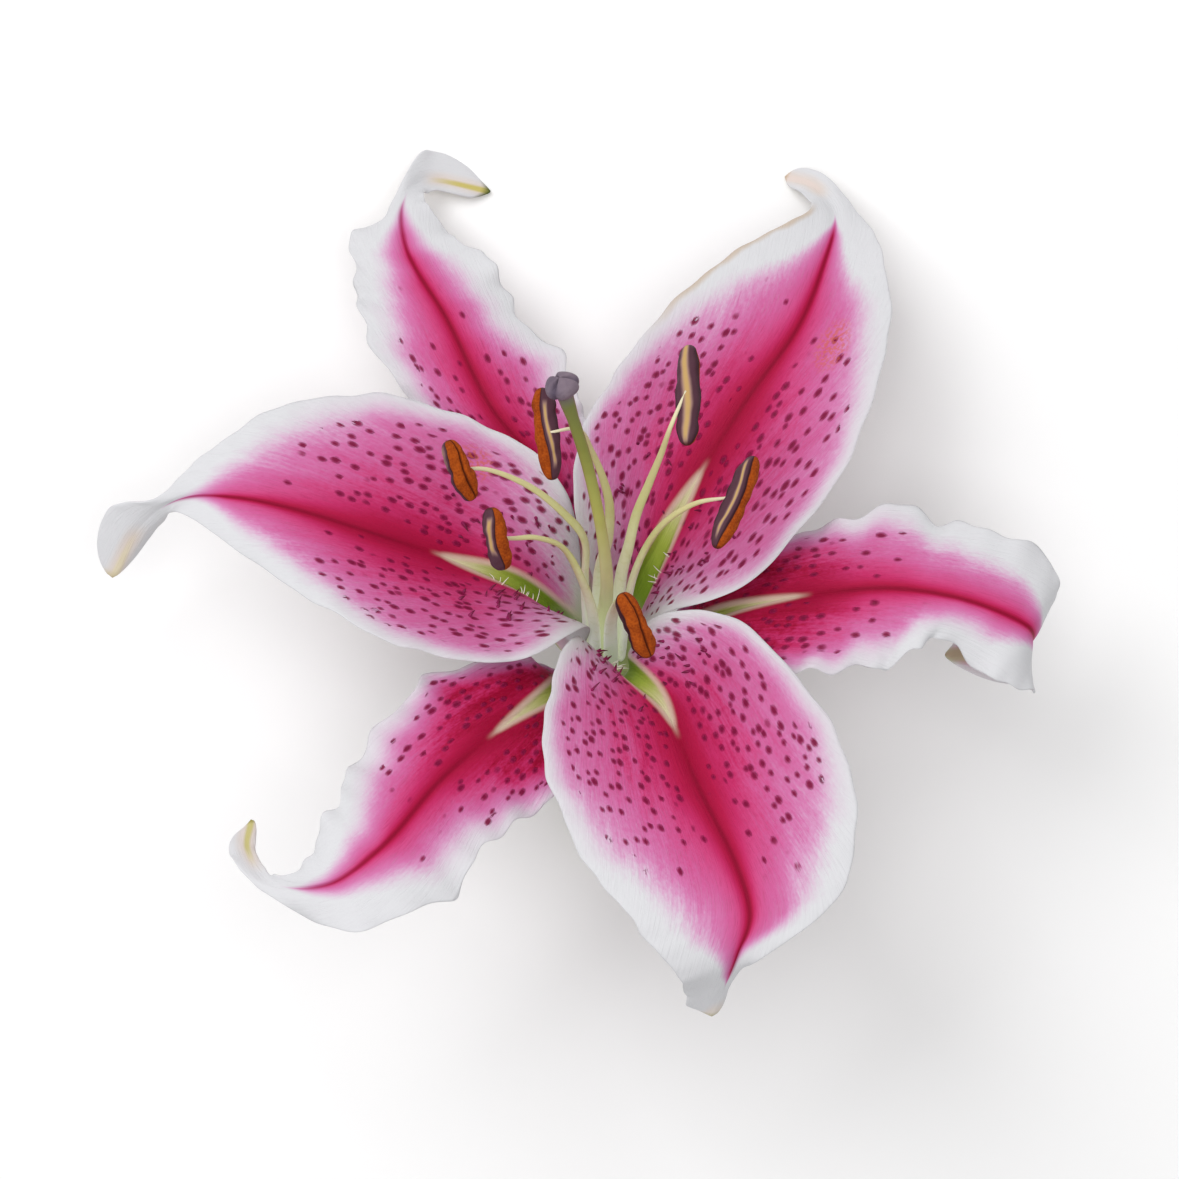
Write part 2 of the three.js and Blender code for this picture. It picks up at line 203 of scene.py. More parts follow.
# %% Shader sockets with arithmetic
class Wire:
    """One output socket of a node tree. Arithmetic on it adds Math nodes."""

    def __init__(self, tree, socket=None):
        self.tree, self.socket = tree, socket

    def node(self, kind, settings=None, inputs=None, out=0):
        """One output of a new node. Inputs are wires, numbers or colour codes."""
        made = self.tree.nodes.new(kind)
        for key, value in (settings or {}).items():
            if key == "stops":
                set_stops(made.color_ramp, value)
            else:
                setattr(made, key, value)
        for key, value in (inputs or {}).items():
            if isinstance(value, Wire):
                self.tree.links.new(value.socket, made.inputs[key])
            else:
                made.inputs[key].default_value = paint(value) if isinstance(value, str) else value
        return Wire(self.tree, made.outputs[out])

    def math(self, operation, *values):
        return self.node("ShaderNodeMath", {"operation": operation}, dict(enumerate(values)))

    def __add__(self, other):
        return self.math("ADD", self, other)

    def __sub__(self, other):
        return self.math("SUBTRACT", self, other)

    def __rsub__(self, other):
        return self.math("SUBTRACT", other, self)

    def __mul__(self, other):
        return self.math("MULTIPLY", self, other)

    def __truediv__(self, other):
        return self.math("DIVIDE", self, other)

    __radd__ = __add__
    __rmul__ = __mul__

    def other(self, out):
        """Another output of the same node."""
        return Wire(self.tree, self.socket.node.outputs[out])

    def most(self, other):
        """The greater of the two."""
        return self.math("MAXIMUM", self, other)

    def size(self):
        """The value without its sign."""
        return self.math("ABSOLUTE", self)

    def rise(self, low, high):
        """0 below low, 1 above high, and a smooth step between them."""
        return self.node("ShaderNodeMapRange", {"interpolation_type": "SMOOTHSTEP"},
                         {"Value": self, "From Min": low, "From Max": high})

    def fall(self, low, high):
        """1 below low, 0 above high, and a smooth step between them."""
        return 1 - self.rise(low, high)

    def tint(self, under, over):
        """The colour under where this mask is 0, and over where it is 1."""
        return self.node("ShaderNodeMix", {"data_type": "RGBA"}, {0: self, 6: under, 7: over}, out=2)

    def ramp(self, stops):
        """The colour at this place on a ramp of (place, colour) stops."""
        return self.node("ShaderNodeValToRGB", {"stops": stops}, {0: self})


def set_stops(ramp, stops):
    """Puts (place, colour) stops on a colour ramp."""
    while len(ramp.elements) < len(stops):
        ramp.elements.new(1)
    for element, (place, colour) in zip(ramp.elements, stops):
        element.position, element.color = place, paint(colour)


def paint(code):
    """A screen colour such as "#d0508f" as the linear colour a shader works in."""
    channels = [int(code[i:i + 2], 16) / 255 for i in (1, 3, 5)]
    linear = [c / 12.92 if c < 0.04045 else ((c + 0.055) / 1.055) ** 2.4 for c in channels]
    return (*linear, 1)


print("a middle grey on screen is", round(paint("#808080")[0], 3), "of white's light")

# %% [markdown]
# ## Starting and feeding a material
#
# Every finish begins with one shader. A number that is the same all over is set on the shader's
# own socket, and only what changes over the surface is wired to it. Fine relief goes through a
# Bump node, which leans the normals as a height would.

# %% Materials
def new_finish(name, **constants):
    """A material, a Wire to start expressions from, and its shader with the constants set."""
    material = bpy.data.materials.new(name)
    material.use_nodes = True
    shader = material.node_tree.nodes["Principled BSDF"]
    for key, value in constants.items():
        shader.inputs[key.replace("_", " ")].default_value = value
    return material, Wire(material.node_tree), shader


def feed(shader, **wires):
    """Links wires to the shader's sockets; Bump is a height in metres."""
    for key, wire in wires.items():
        if key == "Bump":
            key, wire = "Normal", wire.node("ShaderNodeBump", {}, {"Height": wire, "Distance": 1.0})
        wire.tree.links.new(wire.socket, shader.inputs[key.replace("_", " ")])


print("materials in the file so far:", len(bpy.data.materials))

# %% [markdown]
# ## Places and noise
#
# Nothing that grows has one flat colour. A finish reads where it is, from the numbers stored on
# the points, the flat UV map or the place on the object, and adds noise. Both kinds of noise have
# their middle at 0 here, so a multiple of them can simply be added to anything.

# %% Places and noise
def field(pen, name):
    """A number stored on the piece's points."""
    return pen.node("ShaderNodeAttribute", {"attribute_name": name}, out="Fac")


def flat_place(pen):
    """The two numbers of the UV map: along the piece, and across or round it."""
    flat = pen.node("ShaderNodeUVMap", {"uv_map": "flat"})
    down = flat.node("ShaderNodeSeparateXYZ", {}, {0: flat})
    return down, down.other(1)


def grain(x, y, z, detail, roughness=0.5):
    """Soft noise from -0.5 to 0.5 at the place (x, y, z), where x and y are wires."""
    place = x.node("ShaderNodeCombineXYZ", {}, {0: x, 1: y, 2: z})
    return x.node("ShaderNodeTexNoise", {}, {"Vector": place, "Scale": 1.0, "Detail": detail,
                                             "Roughness": roughness}) - 0.5


def speckle(pen, scale, detail=2.0):
    """Soft noise from -0.5 to 0.5 at the place on the object, with scale patches to a metre."""
    place = pen.node("ShaderNodeTexCoord", out="Object")
    return pen.node("ShaderNodeTexNoise", {}, {"Vector": place, "Scale": scale, "Detail": detail}) - 0.5


print("a field, the flat map or the object gives a place; noise varies about 0")

# %% [markdown]
# ## The shape of a tepal
#
# A lily has no separate petals and sepals: its six tepals look alike, three broad inner ones and
# three narrow, ruffled outer ones. Each is held by three lines: one along the midrib and one along
# each margin. Between them the section is a rounded V, because a tepal is folded along its midrib.
# The lines are the same as the plain solid's, so the fine surface lies where the frame says.

# %% The tepals' lines
TEPALS = {
    "inner_tepal_left": dict(
        rib=[[165, 5.3, 0], [164, 17, 19], [168, 30, 28], [170, 44, 36], [170, 59, 41],
             [170, 71, 42], [170, 81, 38], [172, 89, 30], [176, 94.5, 20]],
        left=[[193, 5.3, 0.4], [243, 8, 26], [225, 25, 34], [207, 40, 39], [191, 54, 42],
              [179, 68, 41], [172, 81, 37.5], [171, 86, 28], [176, 94, 20]],
        right=[[137, 5.3, 0.4], [112, 19, 33], [127, 37, 38], [141, 54, 42], [152, 68, 43],
               [163, 78, 41], [170, 86, 37], [171, 96, 31], [176, 95.5, 20]]),
    "inner_tepal_upper_right": dict(
        rib=[[50, 5.3, 0], [48, 14, 18], [53, 28, 27], [54, 46, 34], [54, 63, 38],
             [57, 78, 38], [60, 90, 35], [65, 98.5, 27], [69, 101.5, 21.3]],
        left=[[78, 5.3, 0.4], [114, 14, 34], [97, 32, 35], [85, 44, 38], [75, 61, 40],
              [67, 76, 40], [63, 88, 36], [66, 96.5, 26], [69, 101, 21.3]],
        right=[[22, 5.3, 0.4], [342, 12.5, 26], [359, 29, 35], [26, 52, 40], [42, 73, 41],
               [51, 85.5, 39], [58, 93.5, 34], [65, 102, 27], [69, 102.5, 21.3]]),
    "inner_tepal_bottom": dict(
        rib=[[288, 5.3, 0], [288, 15, 19], [294, 27, 28], [291, 47, 36], [291, 65, 40],
             [290, 75.5, 40], [287, 81, 37], [285, 83.5, 30], [283, 85.5, 22]],
        left=[[316, 5.3, 0.4], [327, 11, 28], [337, 26, 36], [322, 52, 40], [311, 69, 42],
              [302, 79.5, 41], [290, 83, 37], [287, 81, 30], [284, 85, 22]],
        right=[[260, 5.3, 0.4], [239, 11, 27], [247, 27, 36], [256, 45, 40], [267, 62, 42],
               [274, 73.5, 41], [279, 82.5, 36], [280, 83, 28], [282, 84.5, 22]]),
    "outer_tepal_upper_left": dict(
        rib=[[115, 7.4, -2], [115, 17, 16], [115, 30, 25], [120, 44.5, 30], [119, 63, 34],
             [119, 78.5, 35], [116, 91, 32], [111, 98.5, 25], [104, 95, 20]],
        left=[[137, 7.4, -1.6], [137, 18, 17], [131, 40, 27], [134, 57, 30], [129, 75, 32],
              [125, 87, 33], [118, 92, 31], [110, 104.5, 25.5], [104, 96, 20]],
        right=[[93, 7.4, -1.6], [93, 18, 17], [94, 35, 27], [99, 45, 30], [106, 63, 32],
               [110, 76.5, 33], [113, 89.5, 31], [111, 96, 25], [105, 94.5, 20]]),
    "outer_tepal_right": dict(
        rib=[[351, 7.4, -2], [351, 16, 15], [354, 25, 25], [355, 39.5, 33], [355, 54, 38],
             [353, 68, 40], [351, 80, 37], [351, 79, 26], [351, 65.5, 20]],
        left=[[13, 7.4, -1.6], [13, 16.5, 16], [16, 27, 26], [16, 41, 32], [13, 58, 35],
              [7, 72, 36], [1, 85, 34], [358, 82.5, 25], [353, 66, 20]],
        right=[[329, 7.4, -1.6], [328, 16.5, 16], [329, 26, 26], [332, 41, 32], [339, 54.5, 35],
               [347, 63, 36], [343, 76.5, 34], [346, 83, 26], [350, 66.5, 20]]),
    "outer_tepal_lower_left": dict(
        rib=[[242, 7.4, -2], [245, 16, 15.5], [242, 24, 25], [237, 37.5, 32], [235, 53, 37],
             [235, 69.5, 40], [232, 81.5, 38], [225, 86.5, 31], [218, 84, 24], [213, 79, 17]],
        left=[[264, 7.4, -1.6], [265, 17, 17], [260, 32.5, 27], [256, 46, 32], [249, 60, 35],
              [246, 73, 38], [238, 86.5, 37], [225, 88.5, 31], [217, 87, 24], [213, 79.5, 17]],
        right=[[220, 7.4, -1.6], [222, 16, 17], [215, 23, 27], [212, 39, 32], [218, 55.5, 35],
               [224, 68.5, 38], [227, 79, 37], [225, 85, 31], [219, 83, 24], [213, 78.5, 17]]),
}
# For each tepal: the share of its length where its green nectar furrow ends, and half the furrow's
# width at the base, in mm.
FURROW = {"inner_tepal_left": (0.27, 4.7), "inner_tepal_upper_right": (0.275, 5.2),
          "inner_tepal_bottom": (0.29, 5.6), "outer_tepal_upper_left": (0.26, 3.0),
          "outer_tepal_right": (0.355, 3.0), "outer_tepal_lower_left": (0.335, 4.4)}
kinds = {name: name.split("_")[0] for name in TEPALS}
inner_names = [name for name in TEPALS if kinds[name] == "inner"]
print(len(TEPALS), "tepals,", len(inner_names), "of them inner")

# %% [markdown]
# ## From three lines to a sheet
#
# Every row across the tepal starts on one margin, dips to the midrib and ends on the other margin.
# The row's distances are measured on the surface itself, because veins, spots and the furrow are
# laid out by how far a point is from the midrib, not by its share of a changing width.

# %% Middle sheet
ALONG_STEPS = 200
HALF_STRIPS = 46
GROOVE_ROUNDING = 0.35
TINY = 1e-6


def middle_sheet(lines, u, v):
    """midrib + v * half the span + rise(v) * the margins' lift over the midrib, where rise is a
    rounded V from 0 at the midrib to 1 at a margin. u has a value per row, v per grid point."""
    rib, left, right = (smooth_line(bloom_points(lines[key]), u)[:, None]
                        for key in ("rib", "left", "right"))
    full_rise = np.hypot(1, GROOVE_ROUNDING) - GROOVE_ROUNDING
    rise = (np.hypot(v, GROOVE_ROUNDING) - GROOVE_ROUNDING) / full_rise
    return rib + v[..., None] * (right - left) / 2 + rise[..., None] * ((left + right) / 2 - rib)


def sheet_normals(sheet):
    """The direction at right angles to both grid directions, on the side the flower opens to."""
    return unit(np.cross(np.gradient(sheet, axis=1), np.gradient(sheet, axis=0)))


def distances(sheet):
    """Metres along the midrib for each row, and metres across from the midrib for each point."""
    steps_along = np.linalg.norm(np.diff(sheet[:, HALF_STRIPS], axis=0), axis=1)
    steps_across = np.linalg.norm(np.diff(sheet, axis=1), axis=2)
    along = np.append(0, np.cumsum(steps_along))
    across = np.hstack([np.zeros((len(sheet), 1)), np.cumsum(steps_across, axis=1)])
    return along, across - across[:, HALF_STRIPS:HALF_STRIPS + 1]


print("each sheet has", ALONG_STEPS + 1, "rows of", 2 * HALF_STRIPS + 1, "points")

# %% [markdown]
# ## Ruffles
#
# The sheet between the lines would look like pressed card. Living edges grow faster than the
# middle, so they buckle into ruffles, strongly on the outer tepals. A ruffle has two parts: a frill
# that moves the outline in and out, and waves that push the sheet up and down along its normal.
# Both are sums of sines whose starts are random, added to the whole grid at once.

# %% Ruffles
# How each kind of tepal buckles: frill widens the outline by shares of its half width, curl is a
# broad wave and crinkle two small ones, in mm. Thickness is in mm too.
BUCKLE = {"inner": dict(frill=(0.012, 0.008, 0.006), curl=0.5, curls=3, crinkle=(0.12, 0.1), thickness=1.0),
          "outer": dict(frill=(0.055, 0.04, 0.025), curl=1.6, curls=5, crinkle=(0.5, 0.3), thickness=0.85)}
TIP_START = 0.875


def waves(rng, u, counts, sizes):
    """A sum of sines along u, each with its own count of waves, size and random start."""
    starts = rng.uniform(0, 2 * np.pi, len(counts))
    return sum(size * np.sin(2 * np.pi * count * u + start)
               for count, size, start in zip(counts, sizes, starts))


def by_side(v, left, right):
    """A grid with the left margin's row values where v is negative, and the right one's elsewhere."""
    return np.where(v < 0, left[:, None], right[:, None])


def fullness(u):
    """sin(pi * u)^0.8: nothing at the base and the tip, and 1 half way."""
    return np.sin(np.pi * u) ** 0.8


def frilled(buckle, rng, u, v):
    """v * (1 + frill * |v|^5) * tip, where tip widens the last stretch a little and rounds its end."""
    left = waves(rng, u, (5, 9, 17), buckle["frill"]) * fullness(u)
    right = waves(rng, u, (6, 11, 19), buckle["frill"]) * fullness(u)
    last = np.clip((u - TIP_START) / (1 - TIP_START), 0, 1)
    tip = (1 + 1.1 * last ** 2) * np.sqrt(1 - 0.97 * last ** 8)
    return v * (1 + by_side(v, left, right) * np.abs(v) ** 5) * tip[:, None]


def ruffles(buckle, rng, u, v):
    """Metres out of the sheet: a curl that grows as |v|^3, out of step on the two sides, and a
    crinkle that grows as |v|^4."""
    phase = 2 * np.pi * buckle["curls"] * u[:, None] + np.where(v < 0, 0, 2)
    curl = buckle["curl"] * np.sin(phase) * np.abs(v) ** 3
    left = waves(rng, u, (11, 19), buckle["crinkle"])
    right = waves(rng, u, (12, 21), buckle["crinkle"])
    crinkle = by_side(v, left, right) * np.abs(v) ** 4
    return (curl * np.sin(np.pi * u[:, None]) ** 2 + crinkle * fullness(u)[:, None]) * MM


print("curls along an outer tepal's margin:", BUCKLE["outer"]["curls"])

# %% [markdown]
# ## Crease and furrow
#
# A crease runs along the midrib, and near the throat it opens into the nectar furrow, a trough that
# narrows to a point. They are real dips in the surface, because light from the side shows their
# depth, which a painted line can't do. The furrow's width is also needed later, for its colour.

# %% Crease and furrow
CREASE_WIDTH, CREASE_DEPTH = 1.5 * MM, 0.5 * MM
FURROW_DEPTH_TO_WIDTH = 0.34


def soft_step(x, low, high):
    """0 below low, 1 above high, 3t^2 - 2t^3 between."""
    t = np.clip((x - low) / (high - low), 0, 1)
    return t * t * (3 - 2 * t)


def furrow_half_width(name, u):
    """Half the furrow's width in metres: width * (1 - u / end)^0.8, which ends in a point."""
    end, width = FURROW[name]
    return width * MM * np.clip(1 - u / end, 0, 1) ** 0.8


def hollows(name, u, across):
    """Metres into the sheet: a bell-shaped crease along the midrib, and the furrow's flat trough."""
    creased = soft_step(u, 0.2, 0.35) * (1 - soft_step(u, 0.9, 1))
    crease = CREASE_DEPTH * np.exp(-(across / CREASE_WIDTH) ** 2) * creased[:, None]
    half = furrow_half_width(name, u)[:, None] + TINY
    trough = 1 - soft_step(np.abs(across) / half, 0.35, 1.1)
    return crease + FURROW_DEPTH_TO_WIDTH * half * trough


for name in inner_names:
    print(name, "has a furrow", round(2 * furrow_half_width(name, 0) / MM, 1), "mm wide at its base")

# %% [markdown]
# ## The finished sheets
#
# Now the steps are put together: the sheet between the lines, pushed out of itself by the ruffles
# and into itself by the crease and the furrow. The grid is denser near the midrib, where those two
# are narrow. Every tepal has a seed of its own, so no two ruffle alike, and the same ones come back
# on every run.

# %% Tepal sheets
RUFFLE_SEED = 11
CROWDING = 1.15


def tepal_sheet(name, seed):
    """The tepal's middle sheet with its ruffles, crease and furrow, and what was measured on it."""
    rng = np.random.default_rng(seed)
    buckle = BUCKLE[kinds[name]]
    u = np.linspace(0, 1, ALONG_STEPS + 1)
    t = np.linspace(-1, 1, 2 * HALF_STRIPS + 1)
    v = np.broadcast_to(np.sign(t) * np.abs(t) ** CROWDING, (len(u), len(t)))
    sheet = middle_sheet(TEPALS[name], u, frilled(buckle, rng, u, v))
    length, across = distances(sheet)
    push = ruffles(buckle, rng, u, v) - hollows(name, u, across)
    sheet = sheet + push[..., None] * sheet_normals(sheet)
    return dict(u=u, v=v, sheet=sheet, normals=sheet_normals(sheet), length=length, across=across)


shapes = {name: tepal_sheet(name, seed) for seed, name in enumerate(TEPALS, RUFFLE_SEED)}
for name, shape in shapes.items():
    width = (shape["across"][:, -1] - shape["across"][:, 0]).max()
    print(name, "length", round(shape["length"][-1] / MM), "mm, width", round(width / MM), "mm")

# %% [markdown]
# ## Thickness and rounded margins
#
# A sheet has no volume, so it is doubled: one copy goes up and one down by half the thickness,
# which is greatest at the base and along the midrib's rib and fades to a rounded margin. The
# two copies make one ring round the tepal at every step from base to tip.

# %% Tepal meshes
RIB_HEIGHT, RIB_WIDTH = 0.7 * MM, 1.2 * MM


def tepal_rings(shape, thickness):
    """The lower sheet from left margin to right, then the upper one back, as one ring per row."""
    u, v = shape["u"][:, None], shape["v"]
    margin = np.sqrt(1 - 0.97 * np.abs(v) ** 14)
    half = thickness / 2 * (1 - 0.5 * v * v) * margin * (1 + 0.9 * np.clip(1 - 4 * u, 0, 1))
    rib = RIB_HEIGHT * np.exp(-(shape["across"] / RIB_WIDTH) ** 2) * (1 - 0.7 * u)
    lower = shape["sheet"] - (half + rib)[..., None] * shape["normals"]
    upper = shape["sheet"] + half[..., None] * shape["normals"]
    return np.concatenate([lower, upper[:, ::-1]], axis=1)


def both_sides(values):
    """A grid of values as they fall on the ring: the lower sheet, then the upper one back."""
    return np.concatenate([values, values[:, ::-1]], axis=1)


def tepal_mesh(name, shape):
    """The closed mesh, with the numbers its finish reads: along 0 to 1, spread 0 at the midrib
    to 1 at a margin, side -1 or 1, edge and trench in mm from the margin and from the furrow's
    lip, and upper 1 on the side that shows."""
    u, across = np.broadcast_to(shape["u"][:, None], shape["v"].shape), shape["across"]
    reach = np.where(across < 0, -across[:, :1], across[:, -1:]) + TINY
    top = np.ones_like(u)
    fields = dict(along=both_sides(u), side=both_sides(np.sign(across)),
                  spread=both_sides(np.abs(across) / reach),
                  edge=both_sides((reach - np.abs(across)) / MM),
                  trench=both_sides((np.abs(across) - furrow_half_width(name, u)) / MM),
                  upper=np.concatenate([0 * top, top], axis=1))
    length = np.broadcast_to(shape["length"][:, None], u.shape)
    flat = np.stack([both_sides(length), both_sides(across)], -1) / MM
    rings = tepal_rings(shape, BUCKLE[kinds[name]]["thickness"] * MM)
    return closed_rings(name, rings, fields, flat)


tepal_meshes = {name: tepal_mesh(name, shape) for name, shape in shapes.items()}
print("points on all the tepals:", sum(len(mesh.vertices) for mesh in tepal_meshes.values()))

# %% [markdown]
# ## The tepals' colours
#
# The colour of this lily is arranged round the midrib: a deep crimson line, then crimson and
# pink, and a white margin. A colour ramp gives the order of the colours from midrib to margin. The
# six tepals differ in how wide the white is, where the crimson runs out and how their tips look.

# %% Colours of the tepals
FLUSH = [(0.0, "#96042e"), (0.07, "#ad1444"), (0.15, "#be2b63"), (0.25, "#c7467d"), (0.38, "#c85a92"),
         (0.54, "#cb71a5"), (0.68, "#cf91b9"), (0.8, "#d2b2c9"), (0.9, "#d3c8d2"), (1.0, "#d5d5d8")]
# For each tepal: how pale it is near its base, the width in mm of its white margin, where along it
# the crimson runs out, and the colours of the keel and the hard point at its tip.
LOOK = {
    "inner_tepal_left": dict(pale=0.62, rim=5.2, end=0.8, keel="#d9cdb0", point="#cbbd9c"),
    "inner_tepal_upper_right": dict(pale=0.62, rim=4.4, end=0.74, keel="#dccdc6", point="#c2a98e"),
    "inner_tepal_bottom": dict(pale=0.62, rim=4.6, end=0.87, keel="#d8d5cc", point="#bdb59a"),
    "outer_tepal_upper_left": dict(pale=0.66, rim=6.8, end=0.79, keel="#c2b45a", point="#4e5a26"),
    "outer_tepal_right": dict(pale=0.1, rim=5.0, end=0.85, keel="#cfc6a6", point="#6d5a30"),
    "outer_tepal_lower_left": dict(pale=0.1, rim=6.6, end=0.75, keel="#c3ba72", point="#8a8238"),
}
# How the two kinds differ: the ramp's place at the margin at mid length, what is added to it just
# beside the midrib and in the throat, and how far from the midrib the spots begin.
PIGMENT = {"inner": dict(full=1.05, beside=0.17, throat=0.42, clear=0.22),
           "outer": dict(full=1.25, beside=0.09, throat=0.0, clear=0.34)}
# A dusting of fallen pollen: its share of the length and of the half width, and its radius in mm.
DUST = {"inner_tepal_left": (0.25, 0.72, 3.4), "inner_tepal_upper_right": (0.48, 0.45, 4.5)}
BRUISED = "inner_tepal_upper_right"
TEPAL_LENGTH, TEPAL_HALF_WIDTH = 95, 22
looks = {name: dict(LOOK[name], furrow=FURROW[name][0], **PIGMENT[kinds[name]]) for name in TEPALS}
print("the crimson runs out at", [look["end"] for look in looks.values()], "of the lengths")

# %% [markdown]
# ## Noise that follows the veins
#
# The veins fan out from the base and carry the pigment with them. So the noise is read at a place
# that is stretched along the tepal and fans out with it, at four sizes: broad patches, veins, hairs
# and an even mottle.

# %% Places on a tepal
def tepal_places(pen, seed):
    """The stored numbers, the flat place, and four noises stretched along the veins."""
    along = field(pen, "along")
    down, over = flat_place(pen)
    fan = over / (0.28 + 0.72 * along.rise(0.0, 0.85))
    return SimpleNamespace(
        along=along, spread=field(pen, "spread"), edge=field(pen, "edge"), down=down, over=over,
        trench=field(pen, "trench"), upper=field(pen, "upper"), side=field(pen, "side"),
        veins=grain(down * 0.11, fan * 1.5, float(seed), detail=4, roughness=0.6),
        hairs=grain(down * 0.3, fan * 5.0, seed + 9.0, detail=2),
        broad=grain(down * 0.07, fan * 0.22, seed + 5.0, detail=2),
        mottle=grain(down * 0.9, over * 1.8, seed + 2.0, detail=3, roughness=0.65))


def flush_place(at, look):
    """Where a point falls on the ramp, 0 at the midrib and 1 at the margin: spread * stretch, moved
    by noise and raised beside the midrib, in the throat and past the end of the flush. The white
    margin then takes up most of what is left to 1."""
    end = look["end"]
    stretch = look["pale"] + (look["full"] - look["pale"]) * at.along.rise(0.28, 0.62)
    stretch = stretch + 0.35 * at.along.rise(0.6, 0.85) + 2.0 * at.along.rise(end - 0.2, end)
    feather = at.veins * 0.22 + at.hairs * 0.1 + at.broad * 0.36 + at.mottle * 0.3
    beside = look["beside"] * at.along.rise(0.36, 0.6) * at.spread.rise(0.0, 0.14)
    throat = look["throat"] * at.along.fall(0.09, look["furrow"]) * at.spread.rise(0.0, 0.5)
    place = at.spread * stretch + beside + feather * at.spread.rise(0.02, 0.45)
    place = place + 1.2 * at.along.rise(end - 0.06, end + 0.05) + throat
    rim_width = look["rim"] * (0.45 + 0.7 * at.along.rise(0.22, 0.6))
    rim = ((at.edge + at.veins * 1.6 + at.broad * 3.4) / rim_width).fall(-0.3, 1.8)
    return 1 - (1 - place).most(0.0) * (1 - 0.95 * rim)


print("white margins:", [look["rim"] for look in looks.values()], "mm")

# %% [markdown]
# ## Streaks and the dark midrib
#
# Up close the crimson is full of fine deep streaks and the pink of pale ones. Both come from the
# same hairs, and each is let in only where its own ground colour lies, so that the streaks run on
# from one colour into the other.

# %% Streaks and midrib
def streaked(at, look, place):
    """The ramp's colour with deep streaks, pale streaks and a dark midrib laid over it."""
    colour = place.ramp(FLUSH)
    deep = at.hairs.rise(-0.02, 0.2) * 0.26 * place.fall(0.3, 0.8)
    colour = deep.tint(colour, "#8e1040")
    pale = at.hairs.rise(0.02, 0.3) * 0.18 * place.rise(0.25, 0.5)
    colour = pale.tint(colour, "#dcc9d8")
    midrib = at.trench.size().fall(0.05, 0.9) * at.along.rise(look["furrow"], look["furrow"] + 0.1)
    midrib = midrib * at.along.fall(look["end"] - 0.08, look["end"])
    return (midrib * 0.55).tint(colour, "#7a0428")


print("colours on the ramp from midrib to margin:", len(FLUSH))

# %% [markdown]
# ## Spots
#
# Dark raised spots are scattered over the half nearest the throat. A flat Voronoi pattern gives
# each of its cells one spot and one random colour. The colour's channels serve as dice: the first
# decides whether the spot is there, against how crowded it is at that place, the second how big.

# %% Spots
SPOT_SPACING = (3.4, 2.1)


def spot_masks(at, look, place, seed):
    """Where the spots and their darker cores are. A spot is there if crowd is above its dice, and
    covers what is nearer than its radius; noise frays its outline."""
    shift = 0.31 * seed
    scatter = at.down.node("ShaderNodeCombineXYZ", {}, {0: at.down / SPOT_SPACING[0],
                                                        1: at.over / SPOT_SPACING[1] + shift})
    away = scatter.node("ShaderNodeTexVoronoi", {"voronoi_dimensions": "2D"},
                        {"Vector": scatter, "Scale": 1.0, "Randomness": 0.8}, out="Distance")
    dice = away.node("ShaderNodeSeparateColor", {}, {0: away.other("Color")})
    crowd = at.along.rise(0.05, 0.12) * (1 - at.along.rise(0.34, 0.54) * 0.85) * at.along.fall(0.5, 0.6)
    crowd = crowd * (at.spread + 0.3 * at.along).fall(0.86, 1.02)
    crowd = crowd * at.spread.rise(0.02, look["clear"]) * at.edge.rise(1.0, 2.6)
    crowd = crowd * (1 - place.rise(0.6, 0.85) * at.along.rise(0.2, 0.36))
    present = (crowd - dice).rise(0.0, 0.1) * at.trench.rise(0.3, 1.0)
    radius = 0.15 + 0.12 * dice.other(1)
    blot = away + at.hairs * 0.22 + at.veins * 0.16 - radius
    return present * blot.fall(-0.08, 0.1), present * blot.fall(-0.14, 0.0)


print("one possible spot in each", SPOT_SPACING[0], "by", SPOT_SPACING[1], "mm")

# %% [markdown]
# ## Furrow, keel and tip
#
# At the base the nectar furrow is green between cream lips. At the far end the flush is over, and
# the midrib comes through as a pale keel that ends in a hard little point, olive or brown on the
# outer tepals, which were the outside of the bud.

# %% Furrow, keel and tip
def furrowed(at, look, colour):
    """Cream lips, then green that turns to cream towards the furrow's end, then a pale foot."""
    end = look["furrow"]
    inside = at.along.fall(end - 0.015, end + 0.02)
    lips = at.trench.fall(-0.1, 1.0) * inside
    colour = (lips * 0.7).tint(colour, "#dfd2bb")
    grass = (at.along + at.veins * 0.1).rise(0.08, 0.7 * end).tint("#86a132", "#a3b04a")
    grass = (at.along + at.veins * 0.08).rise(0.55 * end, end).tint(grass, "#dccfb0")
    colour = (at.trench.fall(-0.7, 0.05) * inside).tint(colour, grass)
    return at.along.fall(0.0, 0.07).tint(colour, "#d3d8bc")


def tipped(at, look, colour):
    """A warm band past the flush, the keel in its middle, and the point at the very tip."""
    end = look["end"]
    band = (at.over.size() + at.broad * 1.5).fall(0.4, 2.6) * at.along.rise(end + 0.06, end + 0.12)
    colour = (band * 0.5).tint(colour, "#dcc3ae")
    keel = at.over.size().fall(0.25, 1.0) * at.along.rise(end + 0.08, end + 0.16)
    colour = (keel * 0.9).tint(colour, look["keel"])
    return (at.along + at.hairs * 0.01).rise(0.98, 1.0).tint(colour, look["point"])


print("furrows end at", [look["furrow"] for look in looks.values()], "of the lengths")

# %% [markdown]
# ## Pollen dust, a bruise and the underside
#
# A cut flower has been handled. Pollen has fallen on two of the inner tepals, and one margin is
# bruised to a pale brown. Underneath, a tepal is paler and keeps a green rib, which only shows
# where a tip bends back or from the side.

